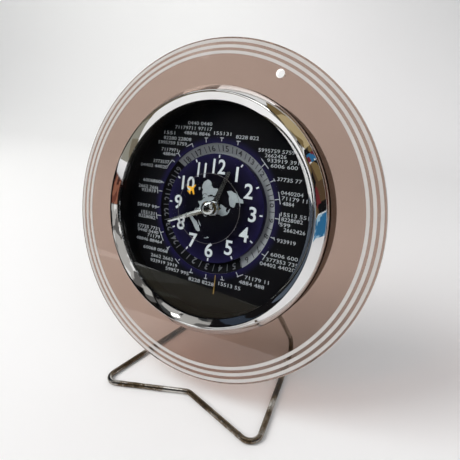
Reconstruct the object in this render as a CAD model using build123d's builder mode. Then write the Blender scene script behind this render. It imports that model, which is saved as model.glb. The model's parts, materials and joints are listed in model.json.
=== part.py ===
from build123d import *
import os
from math import cos, pi, radians, sin, sqrt

# A quartz world time clock in a clear disc, on a bent wire stand.
# Millimetres, Z up, the dial looks towards -Y and leans back.
# The origin is on the floor, in the middle of the clock's width and depth.
# Depths are measured from the front face of the disc, positive towards the viewer.

os.makedirs("parts", exist_ok=True)

# The disc and how it stands
disc_border_width = 27.8
disc_thickness = 3
disc_floor_gap = 12.7
lean_back = 13.34
rim_chamfer = 0.3
ring_width = 1.75
ring_gap = 1.65
ring_margin = 1.1
ring_thickness = 0.2
ring_count = 3
hanging_hole_radius = 2.5
hanging_hole_inset = 13.3
hanging_hole_angle = 65.5

# The bezel and the glass
aperture_radius = 62.94
lens_lip_width = 1.56
crest_width = 4.36
flank_width = 4.9
bezel_rim = 1.2
crest_height = 3.4
lip_thickness = 1.2
bezel_outer_bulge = 0.9
bezel_inner_hollow = 0.5
skirt_wall = 2.5
disc_bore_clearance = 0.2
lens_thickness = 2
inset_clearance = 0.2
spacer_wall = 1.4
hub_glass_gap = 0.8

# The dials
dial_depth = -8.9
dial_thickness = 0.8
centre_dial_radius = 32.9
centre_dial_wall = 0.8
gutter_width = 0.9
day_band_width = 5.5
dish_tuck_width = 1
dish_drop = 4.6
dish_wall = 0.8
turning_gap = 0.3

# The carrier behind the dials
carrier_plate = 2.5
carrier_flange = 1.2
carrier_flange_gap = 1.1
carrier_wall = 1.2
carrier_floor = 1.2
carrier_opening_gap = 4.3
dish_side_gap = 1.2
carrier_floor_gap = 0.9
bezel_screw_count = 4

# The rear case, and the hood over the movement
case_step = 0.1
case_wall = 2
hood_gap = 3.64
hood_end_gap = 1.4
hood_wall = 2
case_fillet = 1.5
door_side_gap = 1
door_rise = 2.5
door_thickness = 1.2
door_ledge = 1
door_clearance = 0.25
door_notch_radius = 3
door_notch_depth = 0.6

# Screws
case_screw_radius = 1.2
case_screw_head_radius = 2.5
case_screw_head = 1.5
case_screw_inset = 12
case_screw_grip = 3
case_boss_radius = 3
bezel_screw_radius = 0.9
bezel_screw_head_radius = 1.7
bezel_screw_head = 1
bezel_screw_grip = 4
bezel_pilot_spare = 1
movement_screw_radius = 0.9
movement_screw_head_radius = 1.8
movement_screw_head = 0.6
movement_screw_inset = 4
movement_screw_short = 0.2
screw_hole_clearance = 0.15
case_screw_count = 4

# The wire stand and its sockets
wire_radius = 1.6
foot_splay = 14.3
vee_depth = 18.4
apex_setback = 0.67
socket_inset = 11.9
socket_angle = -50
riser_lean = 38
wire_bend_radius = 6
socket_clearance = 0.1
socket_wall = 1.5
socket_length_out = 10
socket_length_in = 3
socket_floor = 1
socket_end_gap = 0.2
socket_boss_wall = 2

# The movement's box
movement_corner = 3
movement_wall = 1.5
base_plate = 1.6
cover_plate = 1.2
cover_boss_gap = 0.8
bush_radius = 3.5
bush_neck_radius = 2.9
bush_neck_rise = 1.2
nut_radius = 4.4
nut_thickness = 1
post_radius = 2.4
post_pin_radius = 1.4
post_inset = 3.5
post_upper_inset = 4
post_lower_rise = 3.7
train_plate = 1
plate_side_gap = 0.3
battery_wall = 0.8
battery_side_gap = 0.3

# The battery and its contacts
battery_radius = 7.1
battery_body_length = 49
battery_nub_radius = 2.75
battery_nub_length = 1.5
contact_thickness = 0.4
contact_width = 10
spring_room = 1.7
spring_wire = 0.3
spring_large_radius = 3.6
spring_small_radius = 2.4

# Arbors, running clearances and wheels
arbor_radius = 0.5
rotor_arbor_radius = 0.4
idler_arbor_radius = 0.75
motion_arbor_radius = 0.6
setting_shaft_radius = 1.25
cannon_radius = 1.2
hour_pipe_radius = 2.2
running_clearance = 0.05
pivot_short = 0.2
level_gap = 0.3
wheel_thickness = 0.9
motion_thickness = 1
idler_pinion_thickness = 1.5
cannon_flange_radius = 1.9
cannon_flange = 0.5
day_collar_radius = 5.5
day_collar_rise = 0.5
day_wheel_seat_gap = 0.1

# Tooth counts, modules and where each arbor stands about the centre
cannon_teeth = 10
minute_wheel_teeth = 30
minute_pinion_teeth = 8
hour_wheel_teeth = 32
motion_module = 0.35
minute_wheel_angle = -30
setting_teeth = 12
setting_angle = -10
hour_pinion_teeth = 15
idler_wheel_teeth = 20
idler_pinion_teeth = 14
day_wheel_teeth = 21
day_module_share = 2
idler_angle = 100
leaf_count = 8
third_wheel_teeth = 60
centre_wheel_teeth = 64
second_wheel_teeth = 40
fifth_wheel_teeth = 48
train_module = 0.3
third_angle = 180
fifth_angle = 60
rotor_angle = 20
addendum_share = 0.7
dedendum_share = 1.1
tooth_root_share = 0.5
tooth_tip_share = 0.22

# The motor and the circuit
magnet_radius = 3
magnet_length = 2.2
magnet_drop = 0.3
stator_gap = 0.4
stator_thickness = 0.8
stator_drop = 1.4
stator_left_reach = 5
stator_right_reach = 11.2
stator_lower_reach = 7.1
stator_upper_reach = 7.9
stator_wall_gap = 2.3
coil_inset = 2.8
coil_window_half = 2.9
coil_arm = 2.4
core_width = 2.4
coil_radius = 2.3
bobbin_bore_wall = 0.4
bobbin_flange = 0.6
stator_post_radius = 1.2
stator_post_inset = 1.8
board_left_inset = 7
board_side_gap = 2.7
board_lower_gap = 2.3
board_upper_inset = 1.5
board_thickness = 0.8
chip_radius = 2.4
chip_height = 1.2
crystal_radius = 1.5
crystal_length = 7
crystal_inset = 3
chip_inset = 4

# The setting knob
knob_radius = 5
knob_height = 4
knob_grip = 2
knob_gap = 0.4
knob_groove_radius = 0.35
knob_groove_count = 24

# The hands, the seconds disc and the time that they show
hand_boss_radius = 4.3
hand_boss = 1.3
hand_thickness = 0.5
hour_hand_rise = 1.4
hand_step = 1.6
hour_hand_length = 24.6
hour_hand_root = 3
hour_hand_tip = 2
minute_hand_length = 32.5
minute_hand_root = 2.4
minute_hand_tip = 1.6
hand_point = 1.2
hour_hand_angle = 20.6
minute_hand_angle = 247.7
seconds_angle = 310
collar_radius = 3
collar_length = 1.5
seconds_disc_radius = 20.9
seconds_disc_thickness = 0.8
hub_radius = 4.2
hub_rim = 0.8
hub_dome = 1.4
hub_crown_radius = 1.2
hub_bore_depth = 0.6
aeroplane_length = 7
aeroplane_thickness = 0.2
aeroplane_distance = 15.9
aeroplane_outline_shares = [
    (0.50, 0.00), (0.40, 0.06), (0.12, 0.07), (-0.14, 0.46), (-0.26, 0.46), (-0.12, 0.07),
    (-0.34, 0.06), (-0.44, 0.20), (-0.50, 0.20), (-0.46, 0.00),
]

cut_overrun = 1

# Directions of the dial
tilt = radians(lean_back)
dial_up = Vector(0, sin(tilt), cos(tilt))
dial_out = Vector(0, -cos(tilt), sin(tilt))
riser_down = Vector(0, sin(radians(riser_lean)), -cos(radians(riser_lean)))

# Radii that follow from the glass outwards
crest_radius = aperture_radius + crest_width
bezel_radius = crest_radius + flank_width
disc_radius = bezel_radius + disc_border_width
case_radius = bezel_radius - case_step
skirt_inner_radius = aperture_radius + lens_lip_width
skirt_outer_radius = skirt_inner_radius + skirt_wall
disc_bore_radius = skirt_outer_radius + disc_bore_clearance
inset_radius = skirt_inner_radius - inset_clearance
carrier_flange_radius = case_radius - case_wall - carrier_flange_gap
case_screw_circle = carrier_flange_radius - case_screw_inset
bezel_screw_circle = (skirt_inner_radius + skirt_outer_radius) / 2

# Radii that follow from the centre dial outwards
dish_floor_radius = centre_dial_radius + gutter_width
outer_dial_opening = dish_floor_radius + day_band_width
dish_radius = outer_dial_opening + dish_tuck_width

# Depths that follow from the dial, towards the viewer
bush_neck_top = dial_depth + bush_neck_rise
hour_hand_depth = dial_depth + hour_hand_rise
minute_hand_depth = hour_hand_depth + hand_step
collar_depth = minute_hand_depth + hand_step
seconds_back = collar_depth + collar_length
seconds_front = seconds_back + seconds_disc_thickness
second_arbor_top = seconds_front + hub_bore_depth
hub_rim_top = seconds_front + hub_rim
hub_top = hub_rim_top + hub_dome
lens_back = hub_top + hub_glass_gap
lens_front = lens_back + lens_thickness
aperture_depth = lens_front + lip_thickness
crest_depth = aperture_depth + crest_height

# Depths that follow from the dial, away from the viewer
dial_back = dial_depth - dial_thickness
dish_floor_depth = dial_depth - dish_drop
skirt_back = dial_back - carrier_plate + carrier_flange
carrier_back = skirt_back - carrier_flange
dish_rim_depth = dial_back - turning_gap
dish_back = dish_floor_depth - dish_wall
floor_front = dish_back - carrier_floor_gap
movement_front = floor_front - carrier_floor
case_inside = movement_front
case_depth = case_inside - case_wall
base_back = movement_front - base_plate
hour_pinion_back = base_back - level_gap - motion_thickness
hour_wheel_back = hour_pinion_back - level_gap - motion_thickness
minute_wheel_back = hour_wheel_back - level_gap - motion_thickness
middle_front = minute_wheel_back - level_gap
middle_back = middle_front - train_plate
centre_wheel_back = middle_back - level_gap - wheel_thickness
third_wheel_back = centre_wheel_back - cannon_flange - level_gap - wheel_thickness
second_wheel_back = third_wheel_back - level_gap - wheel_thickness
fifth_wheel_back = second_wheel_back - level_gap - wheel_thickness
bridge_front = fifth_wheel_back - level_gap
bridge_back = bridge_front - train_plate
cover_front = bridge_back - cover_boss_gap
cover_back = cover_front - cover_plate
hood_inside = cover_back - hood_end_gap
hood_depth = hood_inside - hood_wall
knob_front = hood_depth - knob_gap
knob_back = knob_front - knob_height
setting_arbor_end = knob_front - knob_grip

# Where the disc and the stand are
disc_centre_height = disc_floor_gap + disc_radius * cos(tilt) + disc_thickness * sin(tilt)
socket_distance = case_radius - socket_inset
socket_right = socket_distance * cos(radians(socket_angle))
socket_up = socket_distance * sin(radians(socket_angle))
foot_half_span = socket_right + foot_splay
apex_forward = disc_radius * sin(tilt) - apex_setback
foot_forward = apex_forward + vee_depth


def dial_offset(right, up, out):
    """A place on the clock, seen from the centre of the disc's front face."""
    return Vector(right, 0, 0) + dial_up * up + dial_out * out


def stand_corners(ground_y):
    """The corners of the wire, for a disc whose centre is above ground_y."""
    above = Vector(0, ground_y, disc_centre_height)
    corners = []
    for side in (1, -1):
        mouth = above + dial_offset(side * socket_right, socket_up, case_depth)
        to_floor = (mouth.Z - wire_radius) / cos(radians(riser_lean))
        tip = mouth - riser_down * (socket_length_in - socket_floor - socket_end_gap)
        rear_bend = mouth + riser_down * to_floor
        foot = Vector(side * foot_half_span, ground_y - foot_forward, wire_radius)
        corners.append([tip, rear_bend, foot])
    apex = Vector(0, ground_y - apex_forward, wire_radius)
    return corners[0] + [apex] + corners[1][::-1]


# The wire is the deepest piece, so the middle of its depth is the middle of the clock
with BuildLine() as trial_line:
    FilletPolyline(*stand_corners(0), radius=wire_bend_radius)
trial_box = trial_line.line.bounding_box()
ground_y = -(trial_box.min.Y + trial_box.max.Y) / 2
disc_centre = Vector(0, ground_y, disc_centre_height)
dial_axis = Axis(disc_centre, dial_out)
profile_plane = Plane(disc_centre, x_dir=(1, 0, 0), z_dir=-dial_up)


def dial_plane(depth, place=(0, 0)):
    """A plane parallel to the dial, facing the viewer."""
    origin = disc_centre + dial_offset(place[0], place[1], depth)
    return Plane(origin, x_dir=(1, 0, 0), z_dir=dial_out)


def socket_plane(side, along):
    """A plane square to a riser, looking into the case, along from the case's rear face."""
    mouth = disc_centre + dial_offset(side * socket_right, socket_up, case_depth)
    return Plane(mouth - riser_down * along, x_dir=(1, 0, 0), z_dir=-riser_down)


def polar_place(distance, angle, start=(0, 0)):
    """A place on the dial, distance away from start, angle in degrees from the right."""
    return (start[0] + distance * cos(radians(angle)), start[1] + distance * sin(radians(angle)))


def gear(teeth, module, turn=0):
    """The outline of a wheel with straight-sided teeth, one of them pointing along turn."""
    pitch_radius = teeth * module / 2
    tip = (pitch_radius + addendum_share * module, tooth_tip_share)
    root = (pitch_radius - dedendum_share * module, tooth_root_share)
    pitch_angle = 2 * pi / teeth
    points = []
    for tooth in range(teeth):
        middle = radians(turn) + tooth * pitch_angle
        for (radius, share), side in ((root, -1), (tip, -1), (tip, 1), (root, 1)):
            angle = middle + side * share * pitch_angle / 2
            points.append((radius * cos(angle), radius * sin(angle)))
    return Polygon(*points, align=None)


def meshing_turn(teeth, turn, other_teeth, direction):
    """The turn of a wheel that meshes with the first one, which lies in that direction."""
    lead = (direction - turn) % (360 / teeth)
    return direction + 180 + lead * teeth / other_teeth + 180 / other_teeth


# Centre distances and places of the arbors
day_module = motion_module * day_module_share
motion_distance = (cannon_teeth + minute_wheel_teeth) * motion_module / 2
day_distance = (day_wheel_teeth + idler_pinion_teeth) * day_module / 2
train_distance = (leaf_count + third_wheel_teeth) * train_module / 2
centre_module = 2 * train_distance / (leaf_count + centre_wheel_teeth)
second_module = 2 * train_distance / (leaf_count + second_wheel_teeth)
rotor_distance = (leaf_count + fifth_wheel_teeth) * train_module / 2
setting_distance = (minute_wheel_teeth + setting_teeth) * motion_module / 2
minute_wheel_place = polar_place(motion_distance, minute_wheel_angle)
setting_place = polar_place(setting_distance, setting_angle, minute_wheel_place)
idler_place = polar_place(day_distance, idler_angle)
third_place = polar_place(train_distance, third_angle)
fifth_place = polar_place(train_distance, fifth_angle)
rotor_place = polar_place(rotor_distance, rotor_angle, fifth_place)
idler_reach = day_distance + idler_pinion_teeth * day_module / 2
carrier_opening = idler_reach + carrier_opening_gap
third_reach = (third_wheel_teeth / 2 + addendum_share) * train_module
fifth_reach = (fifth_wheel_teeth / 2 + addendum_share) * train_module

# The stator stands round the rotor, and the coil on its open side
stator_left = rotor_place[0] - stator_left_reach
stator_right = rotor_place[0] + stator_right_reach
stator_bottom = rotor_place[1] - stator_lower_reach
stator_top = rotor_place[1] + stator_upper_reach
coil_place = stator_right - coil_inset

# The movement's box is as wide as its cell or its train needs
cell_room = battery_body_length + battery_nub_length + 2 * contact_thickness + spring_room
train_room = 2 * (stator_right + stator_wall_gap)
inside_half = max(cell_room, train_room) / 2
movement_size = 2 * (inside_half + movement_wall)
movement_reach = movement_corner + sqrt(2) * (movement_size / 2 - movement_corner)
hood_inner_radius = movement_reach + hood_gap
hood_radius = hood_inner_radius + hood_wall
movement_screw_offset = movement_size / 2 - movement_screw_inset

# The carrier's cup holds the day ring, and the movement's screws
screw_reach = sqrt(2) * movement_screw_offset + movement_screw_head_radius
carrier_inner = max(dish_radius, screw_reach) + dish_side_gap
carrier_outer = carrier_inner + carrier_wall

# The battery's bay along the bottom, with its door, and the four posts above it
battery_wall_top = -inside_half + 2 * battery_radius + battery_side_gap + battery_wall
battery_up = (-inside_half + battery_wall_top - battery_wall) / 2
door_length = movement_size - 2 * door_side_gap
door_height = battery_wall_top - battery_wall + inside_half + door_rise
post_places = [
    (side * (inside_half - post_inset), height)
    for side in (-1, 1)
    for height in (battery_wall_top + post_lower_rise, inside_half - post_upper_inset)
]
battery_depth = base_back - level_gap - battery_radius
spring_length = 2 * inside_half - battery_body_length - battery_nub_length - 2 * contact_thickness
battery_start = -inside_half + contact_thickness + spring_length
plate_left = -inside_half + plate_side_gap
plate_bottom = battery_wall_top + plate_side_gap
plate_top = inside_half - plate_side_gap
plate_height = plate_top - plate_bottom
plate_width = -2 * plate_left
plate_middle = (plate_top + plate_bottom) / 2
opening_length = door_length - 2 * door_ledge
opening_height = door_height - 2 * door_ledge
pivot_hole_radius = arbor_radius + running_clearance


# The clear disc
hanging_hole_place = polar_place(disc_radius - hanging_hole_inset, hanging_hole_angle)
with BuildPart() as disc_panel:
    with BuildSketch(dial_plane(-disc_thickness)):
        Circle(disc_radius)
        Circle(disc_bore_radius, mode=Mode.SUBTRACT)
        with Locations(hanging_hole_place):
            Circle(hanging_hole_radius, mode=Mode.SUBTRACT)
    extrude(amount=disc_thickness)
    round_edges = disc_panel.edges().filter_by(GeomType.CIRCLE)
    chamfer(round_edges.group_by(SortBy.RADIUS)[-1], length=rim_chamfer)
disc_panel.part.label = "disc_panel"
export_step(disc_panel.part, "parts/disc_panel.step")

# Three rings laid on its front, each a solid of its own
with BuildPart() as disc_rings:
    for ring in range(ring_count):
        ring_outer = disc_radius - ring_margin - ring * (ring_width + ring_gap)
        with BuildSketch(dial_plane(0)):
            Circle(ring_outer)
            Circle(ring_outer - ring_width, mode=Mode.SUBTRACT)
        extrude(amount=ring_thickness)
disc_rings.part.label = "disc_rings"
export_step(disc_rings.part, "parts/disc_rings.step")

# The bezel: a raised ring in front of the disc and a skirt that passes through it
with BuildPart() as bezel:
    with BuildSketch(profile_plane):
        with BuildLine():
            Polyline(
                (aperture_radius, aperture_depth),
                (aperture_radius, lens_front),
                (skirt_inner_radius, lens_front),
                (skirt_inner_radius, skirt_back),
                (skirt_outer_radius, skirt_back),
                (skirt_outer_radius, 0),
                (bezel_radius, 0),
                (bezel_radius, bezel_rim),
            )
            SagittaArc((bezel_radius, bezel_rim), (crest_radius, crest_depth), -bezel_outer_bulge)
            SagittaArc((crest_radius, crest_depth), (aperture_radius, aperture_depth), bezel_inner_hollow)
        make_face()
    revolve(axis=dial_axis)
    with BuildSketch(dial_plane(skirt_back)):
        with PolarLocations(bezel_screw_circle, bezel_screw_count):
            Circle(bezel_screw_radius)
    extrude(amount=bezel_screw_grip + bezel_pilot_spare, mode=Mode.SUBTRACT)
bezel.part.label = "bezel"
export_step(bezel.part, "parts/bezel.step")

with BuildPart() as lens:
    with BuildSketch(dial_plane(lens_back)):
        Circle(inset_radius)
    extrude(amount=lens_thickness)
lens.part.label = "lens"
export_step(lens.part, "parts/lens.step")

# The black ring that holds the glass away from the dial
with BuildPart() as spacer_ring:
    with BuildSketch(dial_plane(dial_depth)):
        Circle(inset_radius)
        Circle(inset_radius - spacer_wall, mode=Mode.SUBTRACT)
    extrude(amount=lens_back - dial_depth)
spacer_ring.part.label = "spacer_ring"
export_step(spacer_ring.part, "parts/spacer_ring.step")

with BuildPart() as outer_dial:
    with BuildSketch(dial_plane(dial_back)):
        Circle(inset_radius)
        Circle(outer_dial_opening, mode=Mode.SUBTRACT)
    extrude(amount=dial_thickness)
outer_dial.part.label = "outer_dial"
export_step(outer_dial.part, "parts/outer_dial.step")

# The centre dial is a shallow cap on the movement's bush
with BuildPart() as centre_dial:
    with BuildSketch(profile_plane):
        Polygon(
            (bush_neck_radius, dial_depth),
            (centre_dial_radius, dial_depth),
            (centre_dial_radius, dish_floor_depth + turning_gap),
            (centre_dial_radius - centre_dial_wall, dish_floor_depth + turning_gap),
            (centre_dial_radius - centre_dial_wall, dial_back),
            (bush_neck_radius, dial_back),
            align=None,
        )
    revolve(axis=dial_axis)
centre_dial.part.label = "centre_dial"
export_step(centre_dial.part, "parts/centre_dial.step")

# The day and night ring slopes inward and down to a flat floor
with BuildPart() as day_dish:
    with BuildSketch(profile_plane):
        Polygon(
            (day_collar_radius, dish_floor_depth),
            (dish_floor_radius, dish_floor_depth),
            (dish_radius, dish_rim_depth),
            (dish_radius, dish_rim_depth - dish_wall),
            (dish_floor_radius, dish_back),
            (day_collar_radius, dish_back),
            align=None,
        )
    revolve(axis=dial_axis)
day_dish.part.label = "day_dish"
export_step(day_dish.part, "parts/day_dish.step")

# The carrier seats the outer dial, closes the bezel and holds the movement
with BuildPart() as dial_carrier:
    with BuildSketch(profile_plane):
        Polygon(
            (carrier_inner, dial_back),
            (inset_radius, dial_back),
            (inset_radius, skirt_back),
            (carrier_flange_radius, skirt_back),
            (carrier_flange_radius, carrier_back),
            (carrier_outer, carrier_back),
            (carrier_outer, movement_front),
            (carrier_opening, movement_front),
            (carrier_opening, floor_front),
            (carrier_inner, floor_front),
            align=None,
        )
    revolve(axis=dial_axis)
    with BuildSketch(dial_plane(case_inside)):
        with PolarLocations(case_screw_circle, case_screw_count):
            Circle(case_boss_radius)
    extrude(amount=carrier_back - case_inside)
    with BuildSketch(dial_plane(case_inside)):
        with PolarLocations(case_screw_circle, case_screw_count):
            Circle(case_screw_radius)
    extrude(amount=case_screw_grip, mode=Mode.SUBTRACT)
    with BuildSketch(dial_plane(carrier_back)):
        with PolarLocations(bezel_screw_circle, bezel_screw_count):
            Circle(bezel_screw_radius + screw_hole_clearance)
    extrude(amount=carrier_flange, mode=Mode.SUBTRACT)
    with BuildSketch(dial_plane(movement_front)):
        with GridLocations(2 * movement_screw_offset, 2 * movement_screw_offset, 2, 2):
            Circle(movement_screw_radius + screw_hole_clearance)
    extrude(amount=carrier_floor, mode=Mode.SUBTRACT)
dial_carrier.part.label = "dial_carrier"
export_step(dial_carrier.part, "parts/dial_carrier.step")

# The rear case: a shallow bucket that carries the stand's sockets
with BuildPart() as rear_case:
    with BuildSketch(profile_plane):
        Polygon(
            (case_radius, -disc_thickness),
            (case_radius, case_depth),
            (hood_inner_radius, case_depth),
            (hood_inner_radius, case_inside),
            (case_radius - case_wall, case_inside),
            (case_radius - case_wall, -disc_thickness),
            align=None,
        )
    revolve(axis=dial_axis)
    rims = rear_case.edges().filter_by(GeomType.CIRCLE)
    fillet(rims.group_by(SortBy.RADIUS)[-1].sort_by(dial_axis)[0], radius=case_fillet)
    for side in (-1, 1):
        with BuildSketch(socket_plane(side, -socket_length_out)):
            Circle(wire_radius + socket_clearance + socket_wall + socket_boss_wall)
        extrude(amount=socket_length_out + socket_length_in)
    for side in (-1, 1):
        with BuildSketch(socket_plane(side, -socket_length_out)):
            Circle(wire_radius + socket_clearance + socket_wall)
        extrude(amount=socket_length_out + socket_length_in, mode=Mode.SUBTRACT)
    with BuildSketch(dial_plane(case_depth)):
        with PolarLocations(case_screw_circle, case_screw_count):
            Circle(case_screw_radius + screw_hole_clearance)
    extrude(amount=case_wall, mode=Mode.SUBTRACT)
rear_case.part.label = "rear_case"
export_step(rear_case.part, "parts/rear_case.step")

# The hood over the movement, bonded to the rear case
with BuildPart() as movement_hood:
    with BuildSketch(profile_plane):
        Polygon(
            (hood_inner_radius, case_depth),
            (hood_radius, case_depth),
            (hood_radius, hood_depth),
            (0, hood_depth),
            (0, hood_inside),
            (hood_inner_radius, hood_inside),
            align=None,
        )
    revolve(axis=dial_axis)
    rims = movement_hood.edges().filter_by(GeomType.CIRCLE)
    fillet(rims.group_by(SortBy.RADIUS)[-1].sort_by(dial_axis)[0], radius=case_fillet)
    with BuildSketch(dial_plane(hood_depth, (0, battery_up))):
        Rectangle(door_length + 2 * door_clearance, door_height + 2 * door_clearance)
    extrude(amount=door_thickness, mode=Mode.SUBTRACT)
    with BuildSketch(dial_plane(hood_depth, (0, battery_up))):
        Rectangle(opening_length, opening_height)
    extrude(amount=hood_wall, mode=Mode.SUBTRACT)
    with BuildSketch(dial_plane(hood_depth, setting_place)):
        Circle(setting_shaft_radius + running_clearance)
    extrude(amount=hood_wall, mode=Mode.SUBTRACT)
movement_hood.part.label = "movement_hood"
export_step(movement_hood.part, "parts/movement_hood.step")

# The battery door, with a finger notch along its upper edge
with BuildPart() as battery_door:
    with BuildSketch(dial_plane(hood_depth, (0, battery_up))):
        Rectangle(door_length, door_height)
    extrude(amount=door_thickness)
    with BuildSketch(dial_plane(hood_depth, (0, battery_up + door_height / 2))):
        Circle(door_notch_radius)
    extrude(amount=door_notch_depth, mode=Mode.SUBTRACT)
battery_door.part.label = "battery_door"
export_step(battery_door.part, "parts/battery_door.step")

with BuildPart() as case_screws:
    with BuildSketch(dial_plane(case_depth - case_screw_head)):
        with PolarLocations(case_screw_circle, case_screw_count):
            Circle(case_screw_head_radius)
    extrude(amount=case_screw_head)
    with BuildSketch(dial_plane(case_depth)):
        with PolarLocations(case_screw_circle, case_screw_count):
            Circle(case_screw_radius)
    extrude(amount=case_wall + case_screw_grip)
case_screws.part.label = "case_screws"
export_step(case_screws.part, "parts/case_screws.step")

with BuildPart() as bezel_screws:
    with BuildSketch(dial_plane(carrier_back - bezel_screw_head)):
        with PolarLocations(bezel_screw_circle, bezel_screw_count):
            Circle(bezel_screw_head_radius)
    extrude(amount=bezel_screw_head)
    with BuildSketch(dial_plane(carrier_back)):
        with PolarLocations(bezel_screw_circle, bezel_screw_count):
            Circle(bezel_screw_radius)
    extrude(amount=carrier_flange + bezel_screw_grip)
bezel_screws.part.label = "bezel_screws"
export_step(bezel_screws.part, "parts/bezel_screws.step")

with BuildPart() as movement_screws:
    with BuildSketch(dial_plane(floor_front)):
        with GridLocations(2 * movement_screw_offset, 2 * movement_screw_offset, 2, 2):
            Circle(movement_screw_head_radius)
    extrude(amount=movement_screw_head)
    with BuildSketch(dial_plane(base_back + movement_screw_short)):
        with GridLocations(2 * movement_screw_offset, 2 * movement_screw_offset, 2, 2):
            Circle(movement_screw_radius)
    extrude(amount=floor_front - base_back - movement_screw_short)
movement_screws.part.label = "movement_screws"
export_step(movement_screws.part, "parts/movement_screws.step")

# Blind sleeves pressed into the slanted bosses of the case
with BuildPart() as stand_sockets:
    for side in (-1, 1):
        with BuildSketch(socket_plane(side, -socket_length_out)):
            Circle(wire_radius + socket_clearance + socket_wall)
        extrude(amount=socket_length_out + socket_length_in)
    for side in (-1, 1):
        with BuildSketch(socket_plane(side, -socket_length_out)):
            Circle(wire_radius + socket_clearance)
        extrude(amount=socket_length_out + socket_length_in - socket_floor, mode=Mode.SUBTRACT)
stand_sockets.part.label = "stand_sockets"
export_step(stand_sockets.part, "parts/stand_sockets.step")

# One wire, from socket to socket round both feet
with BuildPart() as stand_wire:
    with BuildLine():
        FilletPolyline(*stand_corners(ground_y), radius=wire_bend_radius)
    with BuildSketch(Plane(stand_corners(ground_y)[0], x_dir=(1, 0, 0), z_dir=riser_down)):
        Circle(wire_radius)
    sweep()
stand_wire.part.label = "stand_wire"
export_step(stand_wire.part, "parts/stand_wire.step")

# The movement's front plate, with its walls, posts and the bush for the dials
base_holes = [
    (idler_place, idler_arbor_radius + running_clearance),
    (minute_wheel_place, motion_arbor_radius + running_clearance),
    (setting_place, motion_arbor_radius + running_clearance),
    ((0, 0), hour_pipe_radius + running_clearance),
]
with BuildPart() as movement_base:
    with BuildSketch(dial_plane(cover_front)):
        RectangleRounded(movement_size, movement_size, movement_corner)
    extrude(amount=movement_front - cover_front)
    with BuildSketch(dial_plane(cover_front)):
        Rectangle(2 * inside_half, 2 * inside_half)
    extrude(amount=base_back - cover_front, mode=Mode.SUBTRACT)
    with BuildSketch(dial_plane(cover_front, (0, battery_wall_top - battery_wall / 2))):
        Rectangle(2 * inside_half, battery_wall)
    extrude(amount=base_back - cover_front)
    with BuildSketch(dial_plane(middle_front)):
        with Locations(*post_places):
            Circle(post_radius)
    extrude(amount=base_back - middle_front)
    with BuildSketch(dial_plane(bridge_back)):
        with Locations(*post_places):
            Circle(post_pin_radius)
    extrude(amount=middle_front - bridge_back)
    with BuildSketch(dial_plane(movement_front)):
        Circle(bush_radius)
    extrude(amount=dial_back - movement_front)
    with BuildSketch(dial_plane(dial_back)):
        Circle(bush_neck_radius)
    extrude(amount=bush_neck_top - dial_back)
    for hole_place, hole_radius in base_holes:
        with BuildSketch(dial_plane(base_back, hole_place)):
            Circle(hole_radius)
        extrude(amount=bush_neck_top - base_back, mode=Mode.SUBTRACT)
    with BuildSketch(dial_plane(base_back)):
        with GridLocations(2 * movement_screw_offset, 2 * movement_screw_offset, 2, 2):
            Circle(movement_screw_radius)
    extrude(amount=base_plate, mode=Mode.SUBTRACT)
movement_base.part.label = "movement_base"
export_step(movement_base.part, "parts/movement_base.step")

with BuildPart() as dial_nut:
    with BuildSketch(dial_plane(dial_depth)):
        RegularPolygon(nut_radius, 6)
        Circle(bush_neck_radius, mode=Mode.SUBTRACT)
    extrude(amount=nut_thickness)
dial_nut.part.label = "dial_nut"
export_step(dial_nut.part, "parts/dial_nut.step")

# The plate between the motion work and the going train
middle_holes = [
    ((0, 0), cannon_radius + running_clearance),
    (idler_place, idler_arbor_radius + running_clearance),
    (minute_wheel_place, motion_arbor_radius + running_clearance),
    (setting_place, setting_shaft_radius + running_clearance),
    (third_place, pivot_hole_radius),
    (fifth_place, pivot_hole_radius),
    (rotor_place, rotor_arbor_radius + running_clearance),
]
stator_front = middle_back - stator_drop
stator_posts = [
    (stator_left + stator_post_inset, stator_bottom + stator_post_inset),
    (stator_left + stator_post_inset, stator_top - stator_post_inset),
]
with BuildPart() as middle_plate:
    with BuildSketch(dial_plane(middle_back, (0, plate_middle))):
        Rectangle(plate_width, plate_height)
    extrude(amount=train_plate)
    with BuildSketch(dial_plane(stator_front)):
        with Locations(*stator_posts):
            Circle(stator_post_radius)
    extrude(amount=middle_back - stator_front)
    with BuildSketch(dial_plane(middle_back)):
        with Locations(*post_places):
            Circle(post_pin_radius)
    extrude(amount=train_plate, mode=Mode.SUBTRACT)
    for hole_place, hole_radius in middle_holes:
        with BuildSketch(dial_plane(middle_back, hole_place)):
            Circle(hole_radius)
        extrude(amount=train_plate, mode=Mode.SUBTRACT)
middle_plate.part.label = "middle_plate"
export_step(middle_plate.part, "parts/middle_plate.step")

with BuildPart() as plate_spacers:
    with BuildSketch(dial_plane(bridge_front)):
        with Locations(*post_places):
            Circle(post_radius)
            Circle(post_pin_radius, mode=Mode.SUBTRACT)
    extrude(amount=middle_back - bridge_front)
plate_spacers.part.label = "plate_spacers"
export_step(plate_spacers.part, "parts/plate_spacers.step")

bridge_holes = [
    ((0, 0), pivot_hole_radius),
    (setting_place, setting_shaft_radius + running_clearance),
    (third_place, pivot_hole_radius),
    (fifth_place, pivot_hole_radius),
    (rotor_place, rotor_arbor_radius + running_clearance),
]
with BuildPart() as train_bridge:
    with BuildSketch(dial_plane(bridge_back, (0, plate_middle))):
        Rectangle(plate_width, plate_height)
    extrude(amount=train_plate)
    with BuildSketch(dial_plane(bridge_back)):
        with Locations(*post_places):
            Circle(post_pin_radius)
    extrude(amount=train_plate, mode=Mode.SUBTRACT)
    for hole_place, hole_radius in bridge_holes:
        with BuildSketch(dial_plane(bridge_back, hole_place)):
            Circle(hole_radius)
        extrude(amount=train_plate, mode=Mode.SUBTRACT)
train_bridge.part.label = "train_bridge"
export_step(train_bridge.part, "parts/train_bridge.step")

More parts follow.
